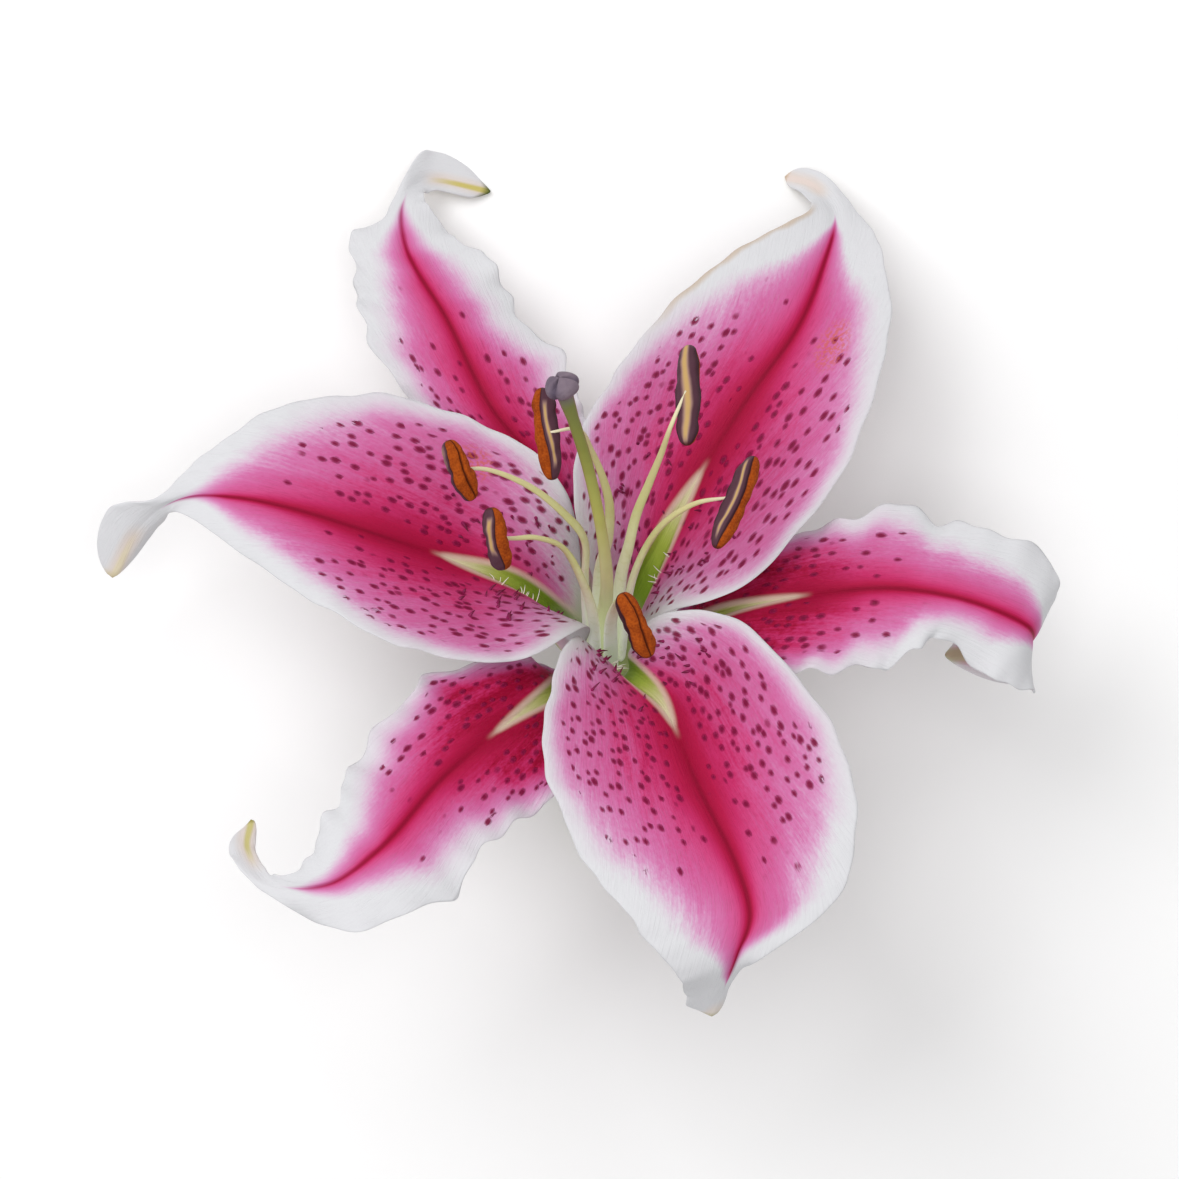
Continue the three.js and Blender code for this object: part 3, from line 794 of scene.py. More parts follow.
# %% Dust, bruise and underside
def dusted(at, colour, where, how_far, radius):
    """Grains of orange noise inside a soft disc, at where along and how_far to one side."""
    away, aside = (at.along - where) * TEPAL_LENGTH, (at.side * at.spread - how_far) * TEPAL_HALF_WIDTH
    near = (away * away + aside * aside).fall(0.1 * radius * radius, radius * radius)
    grains = near * grain(at.down * 1.6, at.over * 1.6, 4.0, detail=3).rise(-0.04, 0.06)
    return (grains * 0.6).tint(colour, "#c8603a")


def bruised(at, colour):
    """A tan stain within about a millimetre of the left margin, from the middle of the tepal to
    three quarters of its length."""
    stain = (at.edge + at.broad * 2).fall(0.2, 1.8) * at.along.rise(0.4, 0.5) * at.along.fall(0.72, 0.8)
    return (stain * at.side.fall(-0.5, 0.5) * 0.55).tint(colour, "#b99a72")


def underside(at):
    """Rose near the midrib and nearly white at the margins, with a green rib that fades outwards."""
    below = (at.spread * 1.1 + at.broad * 0.5 + at.veins * 0.3).rise(0.1, 0.8)
    rib = (at.over.size() + at.veins).fall(0.6, 2.4) * (1 - 0.4 * at.along)
    return rib.tint(below.tint("#cf94b0", "#d6d2d6"), "#a3b36c")


print("dusted:", list(DUST), "bruised:", BRUISED)

# %% [markdown]
# ## The tepals' finish, layer on layer
#
# The layers go on in the order they have on the flower: ground colour and streaks, spots, the
# furrow, the tip, and last what came from outside. The spots and veins also give a slight relief,
# and the spots are a little glossier than the matte skin.

# %% Tepal finish
FINISH_SEED = 3
SPOT_RELIEF, VEIN_RELIEF, HAIR_RELIEF = 0.25 * MM, 0.16 * MM, 0.08 * MM


def tepal_finish(name, seed):
    """All the layers of one tepal."""
    look = looks[name]
    material, pen, shader = new_finish(name, Specular_IOR_Level=0.1)
    at = tepal_places(pen, seed)
    place = flush_place(at, look)
    spots, cores = spot_masks(at, look, place, seed)
    colour = (spots * 0.8).tint(streaked(at, look, place), "#98144c")
    colour = (cores * 0.8).tint(colour, "#6c0830")
    colour = tipped(at, look, furrowed(at, look, colour))
    if name in DUST:
        colour = dusted(at, colour, *DUST[name])
    if name == BRUISED:
        colour = bruised(at, colour)
    height = spots * SPOT_RELIEF + at.veins * VEIN_RELIEF + at.hairs * HAIR_RELIEF
    feed(shader, Base_Color=at.upper.tint(underside(at), colour), Bump=height,
         Roughness=0.55 - 0.2 * spots)
    return material


for seed, (name, mesh) in enumerate(tepal_meshes.items(), FINISH_SEED):
    put(name + "_fine", mesh, tepal_finish(name, seed), kinds[name] + "_tepal", name)

# %% [markdown]
# ## Horns
#
# Near the throat the spots stand up as small fleshy hooks, called papillae, and pale ones line the
# furrow like a comb. Each is only a tapered horn of a few faces, so they are made as real shapes,
# all at once: one array holds every ring of every horn.

# %% Horns
HORN_RINGS = 5
HORN_SIDES = 6


def horn_rings(roots, outward, leaning, lengths, radii):
    """Rings round the line root + length * ((t - 0.12) * outward + 0.8 * t^2 * leaning), with a
    radius that falls with the square root of what is left."""
    t = np.linspace(0, 1, HORN_RINGS)[None, :, None]
    way = (t - 0.12) * outward[:, None] + 0.8 * t * t * leaning[:, None]
    centre = roots[:, None] + lengths[:, None, None] * way
    ahead = unit(outward[:, None] + 1.6 * t * leaning[:, None])
    side = unit(np.cross(ahead, np.cross(outward, leaning)[:, None] + TINY * MM))
    top = np.cross(side, ahead)
    angle = np.linspace(0, 2 * np.pi, HORN_SIDES, endpoint=False)[:, None]
    wide = radii[:, None, None, None] * np.sqrt(1.03 - t)[..., None]
    return centre[:, :, None] + wide * (np.cos(angle) * side[:, :, None] + np.sin(angle) * top[:, :, None])


def horn_mesh(name, rings):
    """Closed horns from an array (horn, ring, point, xyz), each with its own quads and two caps."""
    count = len(rings)
    first = np.arange(count)[:, None, None] * HORN_RINGS
    ring = (first + np.arange(HORN_RINGS - 1)[:, None]) * HORN_SIDES
    here, there = np.arange(HORN_SIDES), (np.arange(HORN_SIDES) + 1) % HORN_SIDES
    next_ring = ring + HORN_SIDES
    quads = np.stack([ring + here, ring + there, next_ring + there, next_ring + here], -1)
    foot = first[:, 0] * HORN_SIDES
    caps = np.vstack([foot + here[::-1], foot + (HORN_RINGS - 1) * HORN_SIDES + here])
    mesh = bpy.data.meshes.new(name)
    mesh.from_pydata(rings.reshape(-1, 3).tolist(), [], quads.reshape(-1, 4).tolist() + caps.tolist())
    mesh.shade_smooth()
    height = np.broadcast_to(np.linspace(0, 1, HORN_RINGS)[None, :, None], rings.shape[:3])
    add_fields(mesh, dict(height=height.ravel()))
    return mesh


print("one horn has", (HORN_RINGS - 1) * HORN_SIDES + 2, "faces")

# %% [markdown]
# ## Papillae on the inner tepals
#
# The hooks are strewn at random beside the furrow and lean back towards the throat. The comb
# stands in a row on one lip and leans over the furrow. A small random lean keeps them from looking
# brushed.

# %% Papillae
HOOKS = 38
PAPILLA_SEED = 31
ROOT_LIFT = 0.4 * MM
# For each comb: its side of the furrow, the shares of the length where it starts and ends, and how
# many papillae it has.
COMB = {"inner_tepal_left": (-1, 0.11, 0.19, 9), "inner_tepal_upper_right": (1, 0.11, 0.16, 6),
        "inner_tepal_bottom": (1, 0.1, 0.14, 6)}


def papillae(name, label, rng, u, aside, lengths, radii, inward):
    """Horns on the upper side of a tepal, at the shares u of its length and the distances aside from
    its midrib. They lean back along the tepal, or with inward at 1 towards the midrib, and each a
    little its own way."""
    sheet, across = shapes[name]["sheet"], shapes[name]["across"]
    row = np.clip((u * ALONG_STEPS).astype(int), 1, ALONG_STEPS - 2)
    column = np.abs(across[row] - aside[:, None]).argmin(axis=1).clip(1, 2 * HALF_STRIPS - 1)
    outward = shapes[name]["normals"][row, column]
    backwards = unit(sheet[row - 1, column] - sheet[row + 1, column])
    sideways = unit(sheet[row, column + 1] - sheet[row, column - 1]) * -np.sign(aside)[:, None]
    leaning = (1 - inward) * backwards + inward * sideways + rng.normal(0, 0.35, (len(u), 3))
    roots = sheet[row, column] + ROOT_LIFT * outward
    return horn_mesh(f"{label}_{name}", horn_rings(roots, outward, leaning, lengths * MM, radii * MM))


def papilla_finish(name, foot, tip):
    """A fleshy colour that runs from the foot of a horn to its tip."""
    material, pen, shader = new_finish(name, Roughness=0.45, Specular_IOR_Level=0.2)
    height = field(pen, "height") + speckle(pen, 900.0) * 0.5
    feed(shader, Base_Color=height.rise(0.0, 1.0).tint(foot, tip))
    return material


dark_horns = papilla_finish("papilla_crimson", "#94205a", "#5c0c2c")
pale_horns = papilla_finish("papilla_pale", "#d8c8b4", "#e6e2dc")
for seed, name in enumerate(inner_names, PAPILLA_SEED):
    rng = np.random.default_rng(seed)
    u = rng.uniform(0.09, 0.27, HOOKS)
    reach = np.interp(u, shapes[name]["u"], shapes[name]["across"][:, -1])
    lip = furrow_half_width(name, u)
    side = rng.choice([-1, 1], HOOKS)
    aside = side * (lip + 0.8 * MM + rng.uniform(0, 0.75, HOOKS) * (0.8 * reach - lip))
    lengths, radii = rng.uniform(0.8, 1.6, HOOKS), rng.uniform(0.28, 0.42, HOOKS)
    mesh = papillae(name, "hooks", rng, u, aside, lengths, radii, inward=0.3)
    put(f"papillae_{name}", mesh, dark_horns, "inner_tepal")
    side, first, last, number = COMB[name]
    u = rng.uniform(first, last, number)
    aside = side * (furrow_half_width(name, u) + rng.uniform(0.0, 0.9, number) * MM)
    lengths, radii = rng.uniform(1.1, 2.3, number), rng.uniform(0.12, 0.17, number)
    mesh = papillae(name, "comb", rng, u, aside, lengths, radii, inward=0.8)
    put(f"comb_{name}", mesh, pale_horns, "inner_tepal")

# %% [markdown]
# ## Carrying an outline along a line
#
# Filaments, anthers, pistil and stalk are all an outline carried along a line. At each step the
# line's direction and one fixed direction that it never follows give a sideways and an upward
# direction, and the outline is laid out in those two.

# %% Outline along a line
def carry(centres, up, sideways, upwards):
    """Rings with centre + sideways * side + upwards * top, where side is direction x up and top is
    side x direction. The last two are arrays (step, point)."""
    direction = unit(np.gradient(centres, axis=0))
    side = unit(np.cross(direction, np.broadcast_to(up, direction.shape)))
    top = np.cross(side, direction)
    return centres[:, None] + (sideways[..., None] * side[:, None] + upwards[..., None] * top[:, None])


def angles(sides):
    """Evenly spaced angles round an outline."""
    return np.linspace(0, 2 * np.pi, sides, endpoint=False)[None]


print("a square outline's corners:", np.degrees(angles(4)[0]))

# %% [markdown]
# ## Where the stamens run
#
# Each stamen has a line for its filament, the two ends of its anther, and the turn of the anther
# about its own length, in degrees. The anther hangs by the middle of its back from the filament's
# tip, so the last point of the filament's line is worked out from the anther.

# %% Stamen lines
STAMENS = [
    ([[172, 3.2, -0.3], [158, 4.2, 26], [134, 5.6, 40], [142, 9.6, 47.5], [150, 16.2, 54.5], [158, 23.5, 60]],
     [[159, 31, 67], [174, 24.5, 60]], -35),
    ([[232, 3.2, -0.3], [234, 3.9, 22], [205, 4.7, 35], [176, 7.8, 44], [181, 12.6, 50], [187, 17, 53.5]],
     [[183, 21, 64], [206, 21, 55]], -60),
    ([[112, 3.2, -0.3], [104, 4.4, 26], [86, 6, 37], [85, 8.6, 45], [92, 11, 51.5], [101, 13.6, 58.5],
      [109, 15.4, 64.8]],
     [[118, 25, 67], [148, 11.5, 61]], 160),
    ([[52, 3.2, -0.3], [46, 4.2, 26], [44, 6, 37.5], [52, 9.3, 44.5], [52, 13, 51.5], [51, 16.2, 59],
      [51, 19, 66]],
     [[64, 35, 66], [37, 18.6, 65]], 195),
    ([[352, 3.2, -0.3], [352, 4.4, 25], [8, 6, 36], [18, 9, 44], [16, 12.4, 51], [10, 17, 58]],
     [[19, 28.7, 64], [336, 21.8, 63]], -110),
    ([[292, 3.2, -0.3], [284, 4.4, 22], [290, 6.4, 34], [287, 10.2, 43], [284, 14.6, 51], [282, 19, 57.5]],
     [[278, 19.5, 66], [285, 30.3, 60]], -30),
]
ANTHER_HALF_WIDTH = 2.25 * MM
ANTHER_HALF_DEPTH = 1.8 * MM
ANTHER_BOW = 0.8 * MM
# How far a filament's tip reaches into the back of its anther.
GRIP = 0.1 * MM


def anther_line(ends, roll):
    """The anther's two ends and raised middle, and the way its pollen side faces: straight up,
    turned by the roll about the anther's length."""
    start, end = bloom_points(ends)
    middle = (start + end) / 2 + ANTHER_BOW * SKY
    length = unit(end - start)
    side = unit(np.cross(length, SKY))
    turn = math.radians(roll)
    front = math.cos(turn) * np.cross(side, length) + math.sin(turn) * side
    return np.array([start, middle, end]), front


print("stamens:", len(STAMENS), "with anthers", round(2 * ANTHER_HALF_WIDTH / MM, 1), "mm wide")

# %% [markdown]
# ## Filaments
#
# A filament is a pale green thread, flat at its foot and fine as a needle at its tip. Its foot is
# thin, pale tissue that light passes through deep in the shaded throat. A faint painted glow of its
# own colour stands in for that light and lightens the shade there, and ends where the thread turns green.

# %% Filaments
FOOT_HALF_WIDTH, FOOT_HALF_DEPTH, NEEDLE = 1.5, 0.9, 0.25
THREAD_STEPS, THREAD_SIDES = 90, 20
THREAD = [(0.0, "#eef1e2"), (0.2, "#f0f2e8"), (0.42, "#e4e7ca"), (0.62, "#c8ca8c"), (0.86, "#d2cb94"),
          (1.0, "#e2d8bc")]


def filament_mesh(name, path, tip):
    """Half width and half depth both fall with share^1.6 from the foot to a needle tip."""
    share = np.linspace(0, 1, THREAD_STEPS)[:, None]
    line = evenly(np.vstack([bloom_points(path), tip]), share[:, 0])
    turn = math.radians(path[0][0])
    up = -math.sin(turn) * ACROSS + math.cos(turn) * UPHILL
    taper = share ** 1.6
    depth = (FOOT_HALF_DEPTH + (NEEDLE - FOOT_HALF_DEPTH) * taper) * MM
    width = (FOOT_HALF_WIDTH + (NEEDLE - FOOT_HALF_WIDTH) * taper) * MM
    a = angles(THREAD_SIDES)
    rings = carry(line, up, depth * np.cos(a), width * np.sin(a))
    return closed_rings(name, rings, dict(along=np.broadcast_to(share, rings.shape[:2])))


def filament_finish():
    """White at the foot, yellow-green along the thread and cream at the tip, with faint streaks, and a
    painted glow at the foot that lightens the shaded throat.
    """
    material, pen, shader = new_finish("filament", Roughness=0.42, Specular_IOR_Level=0.25,
                                       Emission_Strength=0.15)
    along, speck = field(pen, "along"), speckle(pen, 700.0, 3.0)
    colour = (speck.rise(0.0, 0.3) * 0.25).tint((along + speck * 0.06).ramp(THREAD), "#b5b86a")
    # painted glow: the foot emits its own colour to lighten the shade deep in the throat
    painted_glow = along.rise(0.15, 0.55).tint(colour, "#000000")
    feed(shader, Base_Color=colour, Emission_Color=painted_glow, Bump=speck * 0.08 * MM)
    return material


thread = filament_finish()
for number, (path, ends, roll) in enumerate(STAMENS, 1):
    line, front = anther_line(ends, roll)
    tip = line[1] - (ANTHER_HALF_DEPTH - GRIP) * front
    name = f"filament_{number}"
    put(name + "_fine", filament_mesh(name, path, tip), thread, "filament", name)

# %% [markdown]
# ## The anthers' shape
#
# An anther is a long sack that has split open along its front, between two swollen lobes. The
# outline is an ellipse with a narrow cleft there. It is full along most of its length, and both
# ends close in a blunt point. Soft random swellings keep the six from looking moulded, and each is
# twisted a little along its length.

# %% Anther shapes
# For each anther: how its split side is turned from straight up, how far round from the split its
# pollen and then its dark wall reach, all in degrees, and the shares of its length between which
# its back is tan. They open by different amounts, and the split is turned to where it shows.
OPENING = [(-35, 74, 86, (0.1, 0.4)), (-150, 148, 161, (0.16, 0.66)), (162, 152, 167, (0.2, 0.85)),
           (195, 85, 153, (0.0, 1.0)), (-150, 143, 169, (0.1, 0.9)), (-30, 80, 150, (0.0, 1.0))]
# The finish's zones: pollen below 0.42, dark wall to 0.8, tan back at 1.
ZONES = [1, 0.8, 0.42, 0, 0.42, 0.8, 1]
CLOSED_SIDE_POLLEN = -92
DARK_BACK = 0.74
ANTHER_STEPS, ANTHER_SIDES = 110, 64
ANTHER_TWIST = math.radians(14)
ANTHER_SEED = 50


def anther_size(share, from_front, pollen_end, a, rng):
    """Share of the full ellipse: full in the middle and closed at the ends, times the swellings,
    less a cleft at the split and a shallow seam where the pollen ends."""
    full = (1 - (2 * share - 1) ** 4) ** 0.42
    bulges = waves(rng, share, (2, 3, 5), (0.04, 0.03, 0.02))
    lumps = 0.025 * waves(rng, share * 3 + a / 3, (1, 2), (1, 1))
    cleft = 0.34 * np.exp(-(from_front / 0.16) ** 2) * full
    seam = 0.07 * np.exp(-((np.degrees(from_front) - pollen_end) / 8) ** 2)
    return full * (1 + bulges + lumps) * (1 - cleft - seam)


def anther_mesh(name, ends, opening, seed):
    """The ellipse, turned by a twist that comes and goes along the anther, with the zone of every
    point for the finish. Rings crowd towards both ends."""
    turned, pollen_end, back_start, (tan_start, tan_end) = opening
    rng = np.random.default_rng(seed)
    share = (0.5 - 0.5 * np.cos(np.pi * np.linspace(0.012, 0.988, ANTHER_STEPS)))[:, None]
    line, front = anther_line(ends, turned)
    a = angles(ANTHER_SIDES)
    from_front = ((a + np.pi / 2) % (2 * np.pi) - np.pi) * np.sign(turned)
    size = anther_size(share, from_front, pollen_end, a, rng)
    twist = ANTHER_TWIST * np.sin(2 * np.pi * share + seed)
    across, rise = ANTHER_HALF_WIDTH * size * np.cos(a), ANTHER_HALF_DEPTH * size * np.sin(a)
    rings = carry(evenly(line, share[:, 0]), front, across * np.cos(twist) - rise * np.sin(twist),
                  across * np.sin(twist) + rise * np.cos(twist))
    edges = [-180, -back_start - 4, CLOSED_SIDE_POLLEN, 0, pollen_end, back_start, 180]
    zone = np.interp(np.degrees(from_front), edges, ZONES)
    tan = soft_step(share, tan_start - 0.1, tan_start + 0.1)
    tan = tan * (1 - soft_step(share, tan_end - 0.15, tan_end + 0.1))
    around = np.broadcast_to(np.minimum(zone, DARK_BACK + (1 - DARK_BACK) * tan), rings.shape[:2])
    return closed_rings(name, rings, dict(around=around, along=np.broadcast_to(share, around.shape)))


anther_meshes = [anther_mesh(f"anther_{number}", ends, opening, ANTHER_SEED + number)
                 for number, ((_, ends, _), opening) in enumerate(zip(STAMENS, OPENING), 1)]
print("points on all the anthers:", sum(len(mesh.vertices) for mesh in anther_meshes))

# %% [markdown]
# ## The anthers' finish
#
# Ripe pollen is rust orange and powdery, so it is rough and grainy, with a dark line in the split.
# Round the side the bare wall is purple-brown and smoother, and a tan strip runs down the
# back. One stored number says how far round a point lies, and noise frays the borders.

# %% Anther finish
def anther_finish():
    """Pollen orange in front, purple-brown beside the back, and tan along it, on a grainy surface."""
    material, pen, shader = new_finish("anther", Specular_IOR_Level=0.15)
    around, along = field(pen, "around"), field(pen, "along")
    dust, patch = speckle(pen, 2600.0, 3.0), speckle(pen, 420.0)
    where = around + patch * 0.05
    pollen = (dust * 0.6 + patch * 0.5).rise(-0.2, 0.2).tint("#823408", "#ab4f12")
    pollen = (around.fall(0.01, 0.05) * 0.9).tint(pollen, "#431405")
    back = around.rise(0.84, 0.97).tint("#9c7a70", "#bd9a62")
    wall = where.rise(0.46, 0.7).tint("#30121a", "#50303c")
    colour = where.rise(0.4, 0.45).tint(pollen, wall)
    colour = where.rise(0.76, 0.9).tint(colour, back)
    ends = (along - 0.5).size().rise(0.47, 0.5)
    colour = (ends * 0.7).tint(colour, "#4a2012")
    feed(shader, Base_Color=colour, Bump=dust * where.fall(0.4, 0.46) * 0.2 * MM + patch * 0.1 * MM,
         Roughness=0.9 - 0.35 * where.rise(0.4, 0.5))
    return material


pollen_sack = anther_finish()
for number, mesh in enumerate(anther_meshes, 1):
    put(f"anther_{number}_fine", mesh, pollen_sack, "anther", f"anther_{number}")

# %% [markdown]
# ## The pistil's shape
#
# The ovary, style and stigma are one piece: a six-ribbed green column, a smooth olive rod that
# bends towards the light, and a sticky grey-purple knob in three lobes. The knob is a dome whose
# outline has three clefts, and the clefts also sink its top, which draws the star on its face.

# %% Pistil shape
PISTIL_LINE = [[0, 0, -0.3], [270, 0.4, 18], [276, 2, 38], [139, 1.4, 54], [118, 8, 68], [120, 16.5, 84]]
ROD_END = 0.962
ROD_RADIUS_AT = [0, 0.02, 0.1, 0.2, 0.27, 0.6, 0.9, ROD_END]
ROD_RADIUS = [1.5, 1.85, 1.95, 1.8, 1.35, 1.05, 1.1, 1.5]
KNOB_RADIUS, KNOB_HALF_HEIGHT = 3.25 * MM, 2.0 * MM
KNOB_ABOVE_ROD, CLEFT_DEPTH = 2.1 * MM, 0.9 * MM
ROD_STEPS, KNOB_STEPS, PISTIL_SIDES = 200, 40, 72


def knob_rings(end, direction, joint, a):
    """A dome with radius * sin^0.8 and height * cos of its polar angle, cleft at every third of a
    turn, and never narrower than the rod's last ring in its lower part."""
    polar = np.linspace(0.16, 0.985, KNOB_STEPS)[:, None] * np.pi
    third = (a - np.pi / 2 + np.pi / 3) % (2 * np.pi / 3) - np.pi / 3
    cleft = np.exp(-(third / 0.2) ** 2)
    wide = KNOB_RADIUS * np.sin(polar) ** 0.8 * (1 - 0.2 * cleft) * (1 + 0.05 * np.cos(third * 3))
    wide = np.maximum(wide, joint * (polar < 0.3 * np.pi))
    high = -KNOB_HALF_HEIGHT * np.cos(polar) - CLEFT_DEPTH * cleft * soft_step(polar, 1.6, 2.6)
    side = unit(np.cross(direction, ACROSS))
    top = np.cross(side, direction)
    outwards = np.cos(a)[..., None] * side + np.sin(a)[..., None] * top
    centre = end + KNOB_ABOVE_ROD * direction
    rings = centre + wide[..., None] * outwards + high[..., None] * direction
    return rings, np.broadcast_to(cleft, wide.shape)


def pistil_mesh():
    """A ribbed column and a rod, whose radius steps down from ovary to style, and then the knob."""
    rod_share = np.linspace(0, ROD_END, ROD_STEPS)
    rod = evenly(bloom_points(PISTIL_LINE), rod_share)
    share = rod_share[:, None]
    a = angles(PISTIL_SIDES)
    girth = np.interp(share, ROD_RADIUS_AT, ROD_RADIUS)
    ribs = 1 + 0.07 * np.cos(6 * a) * (1 - soft_step(share, 0.18, 0.28)) + 0.02 * np.cos(3 * a)
    radius = girth * ribs * MM
    rod_rings = carry(rod, ACROSS, radius * np.cos(a), radius * np.sin(a))
    knob, cleft = knob_rings(rod[-1], unit(rod[-1] - rod[-2]), radius[-1], a)
    along = np.concatenate([np.broadcast_to(share, radius.shape), np.ones(cleft.shape)])
    groove = np.concatenate([np.zeros(radius.shape), cleft])
    return closed_rings("pistil", np.concatenate([rod_rings, knob]), dict(along=along, groove=groove))


pistil = pistil_mesh()
print("the knob is", round(2 * KNOB_RADIUS / MM, 1), "mm wide")

# %% [markdown]
# ## The pistil's finish
#
# The style is smooth and waxy, and its colour ripens from pale green at the foot to olive. The knob
# is velvety, so it is rougher and has more relief. The foot has the same faint painted glow as the
# filaments' feet, which lightens the shade in the throat.

# %% Pistil finish
STYLE = [(0.0, "#dbe2c0"), (0.2, "#dde3b8"), (0.45, "#cfd498"), (0.65, "#b0b35e"), (0.82, "#868a40"),
         (0.93, "#767c40"), (0.965, "#77726a")]


def pistil_finish():
    """Green to olive along the rod with a painted glow at its foot, and velvety grey-purple on the knob,
    darker in its clefts.
    """
    material, pen, shader = new_finish("pistil", Specular_IOR_Level=0.25, Emission_Strength=0.12)
    along, groove = field(pen, "along"), field(pen, "groove")
    fine, soft = speckle(pen, 1500.0, 3.0), speckle(pen, 260.0)
    rod = (along + soft * 0.05).ramp(STYLE)
    velvet = soft.rise(-0.2, 0.2).tint("#655766", "#84747f")
    velvet = (groove * 0.65).tint(velvet, "#453b50")
    knob = along.rise(0.955, 0.985)
    # painted glow: the foot emits its own colour to lighten the shade in the throat
    painted_glow = along.rise(0.2, 0.45).tint(rod, "#000000")
    feed(shader, Base_Color=knob.tint(rod, velvet), Emission_Color=painted_glow, Roughness=0.36 + 0.34 * knob,
         Bump=fine * (0.04 * MM + 0.16 * MM * knob) + soft * 0.1 * MM)
    return material


put("pistil_fine", pistil, pistil_finish(), "pistil", "pistil")

# %% [markdown]
# ## The stalk's shape
#
# Below the tepals the receptacle narrows into the stalk, which bends down to the surface, lies
# along it and ends in a clean slice. Its line is a straight, an arc and another straight, so it
# is worked out from the lean of the flower and the height of the throat.

# %% Stalk shape
STALK_RADIUS = 2.75 * MM
STRAIGHT, LYING = 8 * MM, 15 * MM
RECEPTACLE_TOP = -0.9 * MM
GIRTH_AT = np.array([0, 0.3, 1.6, 2.1, 2.9, 4.2, 6, 8, 11]) * MM
GIRTH = np.array([6.0, 6.5, 7.6, 8.4, 8.3, 6.6, 4.5, 3.1, 2.75]) * MM
RECEPTACLE_STEPS, EVEN_STEPS, STALK_SIDES = 80, 89, 64
BEND = math.pi / 2 - LEAN
STALK_TOP = THROAT + RECEPTACLE_TOP * AXIS
BEND_RADIUS = ((STALK_TOP - STRAIGHT * AXIS)[2] - STALK_RADIUS) / (1 - math.cos(BEND))
ARC = BEND_RADIUS * BEND
STALK_LENGTH = STRAIGHT + ARC + LYING


def stalk_line(distance):
    """Where the stalk's middle is after each distance from its top: down the flower's axis, round
    an arc that ends level, then straight along the surface."""
    straight = np.minimum(distance, STRAIGHT)[:, None]
    left = BEND - np.clip(distance - STRAIGHT, 0, ARC) / BEND_RADIUS
    bent = np.stack([0 * left, -BEND_RADIUS * (math.sin(BEND) - np.sin(left)),
                     -BEND_RADIUS * (np.cos(left) - math.cos(BEND))], -1)
    level = np.clip(distance - STRAIGHT - ARC, 0, LYING)[:, None] * np.array([0, -1, 0])
    return STALK_TOP - straight * AXIS + bent + level


def stalk_mesh():
    """A round outline with faint ridges; the girth follows the receptacle and then stays even."""
    receptacle = smooth_line(np.column_stack([GIRTH_AT, GIRTH]), np.linspace(0, 1, RECEPTACLE_STEPS))
    even = np.linspace(GIRTH_AT[-1], STALK_LENGTH, EVEN_STEPS + 1)[1:]
    distance = np.append(receptacle[:, 0], even)
    girth = np.append(receptacle[:, 1], np.full(EVEN_STEPS, STALK_RADIUS))[:, None]
    a = angles(STALK_SIDES)
    ridge = 1 + 0.02 * np.cos(5 * a) + 0.008 * np.cos(13 * a + 1)
    lobes = 1 + 0.05 * np.cos(6 * a) * (1 - soft_step(distance, 3 * MM, 8 * MM))[:, None]
    radius = girth * ridge * lobes
    rings = carry(stalk_line(distance), ACROSS, radius * np.cos(a), radius * np.sin(a))
    share = np.broadcast_to((distance / STALK_LENGTH)[:, None], radius.shape)
    flat = np.stack(np.broadcast_arrays(distance[:, None] / MM, a / np.pi * 9), -1)
    return closed_rings("pedicel", rings, dict(along=share), flat)


stalk = stalk_mesh()
print("the stalk is", round(STALK_LENGTH / MM), "mm long and bends by", round(math.degrees(BEND)), "degrees")

# %% [markdown]
# ## The stalk's finish
#
# The skin is waxy green with long pale streaks, which are noise stretched along the stalk. Close
# under the flower it is paler, and so is the cut face at the far end.

# %% Stalk finish
def stalk_finish():
    """Two greens in streaks, yellower patches, a pale top and a pale cut face."""
    material, pen, shader = new_finish("stalk", Roughness=0.45, Specular_IOR_Level=0.3)
    along = field(pen, "along")
    down, over = flat_place(pen)
    streak = grain(down * 0.12, over * 2.2, 1.0, detail=4)
    mottle = grain(down * 0.9, over * 0.9, 7.0, detail=3)
    green = streak.rise(-0.15, 0.18).tint("#6d8f3c", "#95b158")
    green = (mottle.rise(0.0, 0.25) * 0.4).tint(green, "#b3c06c")
    green = along.fall(0.0, 0.1).tint(green, "#b9c787")
    colour = along.rise(0.9985, 0.9995).tint(green, "#c9d09a")
    feed(shader, Base_Color=colour, Bump=streak * 0.2 * MM + mottle * 0.1 * MM)
    return material


put("pedicel_fine", stalk, stalk_finish(), "stalk", "pedicel")

# %% [markdown]
# ## Floor
#
# The bloom lies on a plain pale floor. It is one large square, far wider than the view, so that its
# edge never shows and it catches the soft shadows.

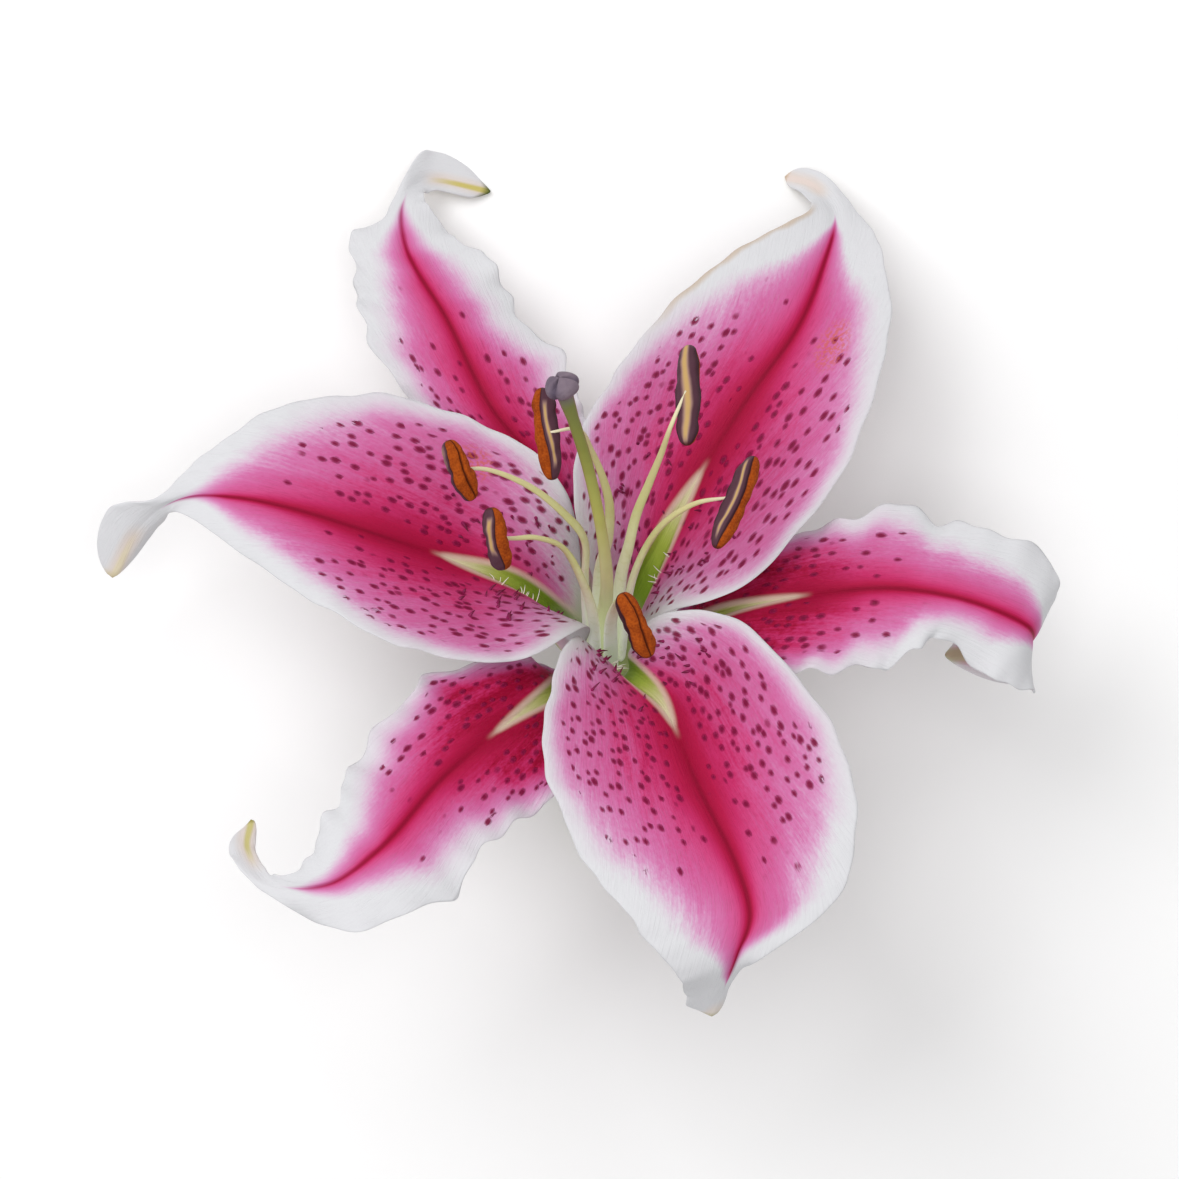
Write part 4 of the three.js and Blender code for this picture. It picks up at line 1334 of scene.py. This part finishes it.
# %% Floor
FLOOR_REACH = 6.0
corners = [(x * FLOOR_REACH, y * FLOOR_REACH, 0) for x, y in ((-1, -1), (1, -1), (1, 1), (-1, 1))]
floor_mesh = bpy.data.meshes.new("floor")
floor_mesh.from_pydata(corners, [], [(0, 1, 2, 3)])
floor = bpy.data.objects.new("floor", floor_mesh)
bpy.context.scene.collection.objects.link(floor)
floor_finish, _, floor_shader = new_finish("floor", Roughness=0.9, Specular_IOR_Level=0.1)
floor_shader.inputs["Base Color"].default_value = (0.95, 0.95, 0.95, 1)
floor_mesh.materials.append(floor_finish)
print("floor is", 2 * FLOOR_REACH, "m wide")

# %% [markdown]
# ## Light
#
# Flowers look best in soft light. A white room all round keeps the shadows light, a large lamp
# from the upper left models the folds, and a weaker one overhead opens up the throat.

# %% Light
ROOM_STRENGTH = 0.5
BLOOM_MIDDLE = np.array([0, 0, 0.05])


def soft_lamp(name, place, size, power):
    """A square area lamp that faces the bloom; size in metres and power in watts."""
    lamp = bpy.data.lights.new(name, "AREA")
    lamp.size, lamp.energy = size, power
    holder = bpy.data.objects.new(name, lamp)
    bpy.context.scene.collection.objects.link(holder)
    holder.location = place
    towards = BLOOM_MIDDLE - np.array(place)
    holder.rotation_euler = Vector(towards).to_track_quat("-Z", "Y").to_euler()


soft_lamp("key", (-0.5, 0.55, 1.1), 0.7, 8)
soft_lamp("overhead", (0.05, -0.02, 1.3), 0.6, 4.6)
world = bpy.data.worlds.new("pale_room")
bpy.context.scene.world = world
world.use_nodes = True
room = world.node_tree.nodes["Background"]
room.inputs["Color"].default_value = (1, 1, 1, 1)
room.inputs["Strength"].default_value = ROOM_STRENGTH
bpy.context.scene.view_settings.view_transform = "Standard"
print("lamps:", len(bpy.data.lights))

# %% [markdown]
# ## Camera
#
# The bloom is seen from straight above with a long lens, so near and far tepals keep their true
# proportions. A new camera already looks straight down, so it only needs its place.

# %% Camera
CAMERA_OVER = np.array([1.9, -4.8, 885]) * MM
lens = bpy.data.cameras.new("camera")
lens.lens = 135
lens.sensor_width = 36
lens.clip_start = 0.01
camera = bpy.data.objects.new("camera", lens)
bpy.context.scene.collection.objects.link(camera)
camera.location = CAMERA_OVER
bpy.context.scene.camera = camera
print("camera at", CAMERA_OVER)
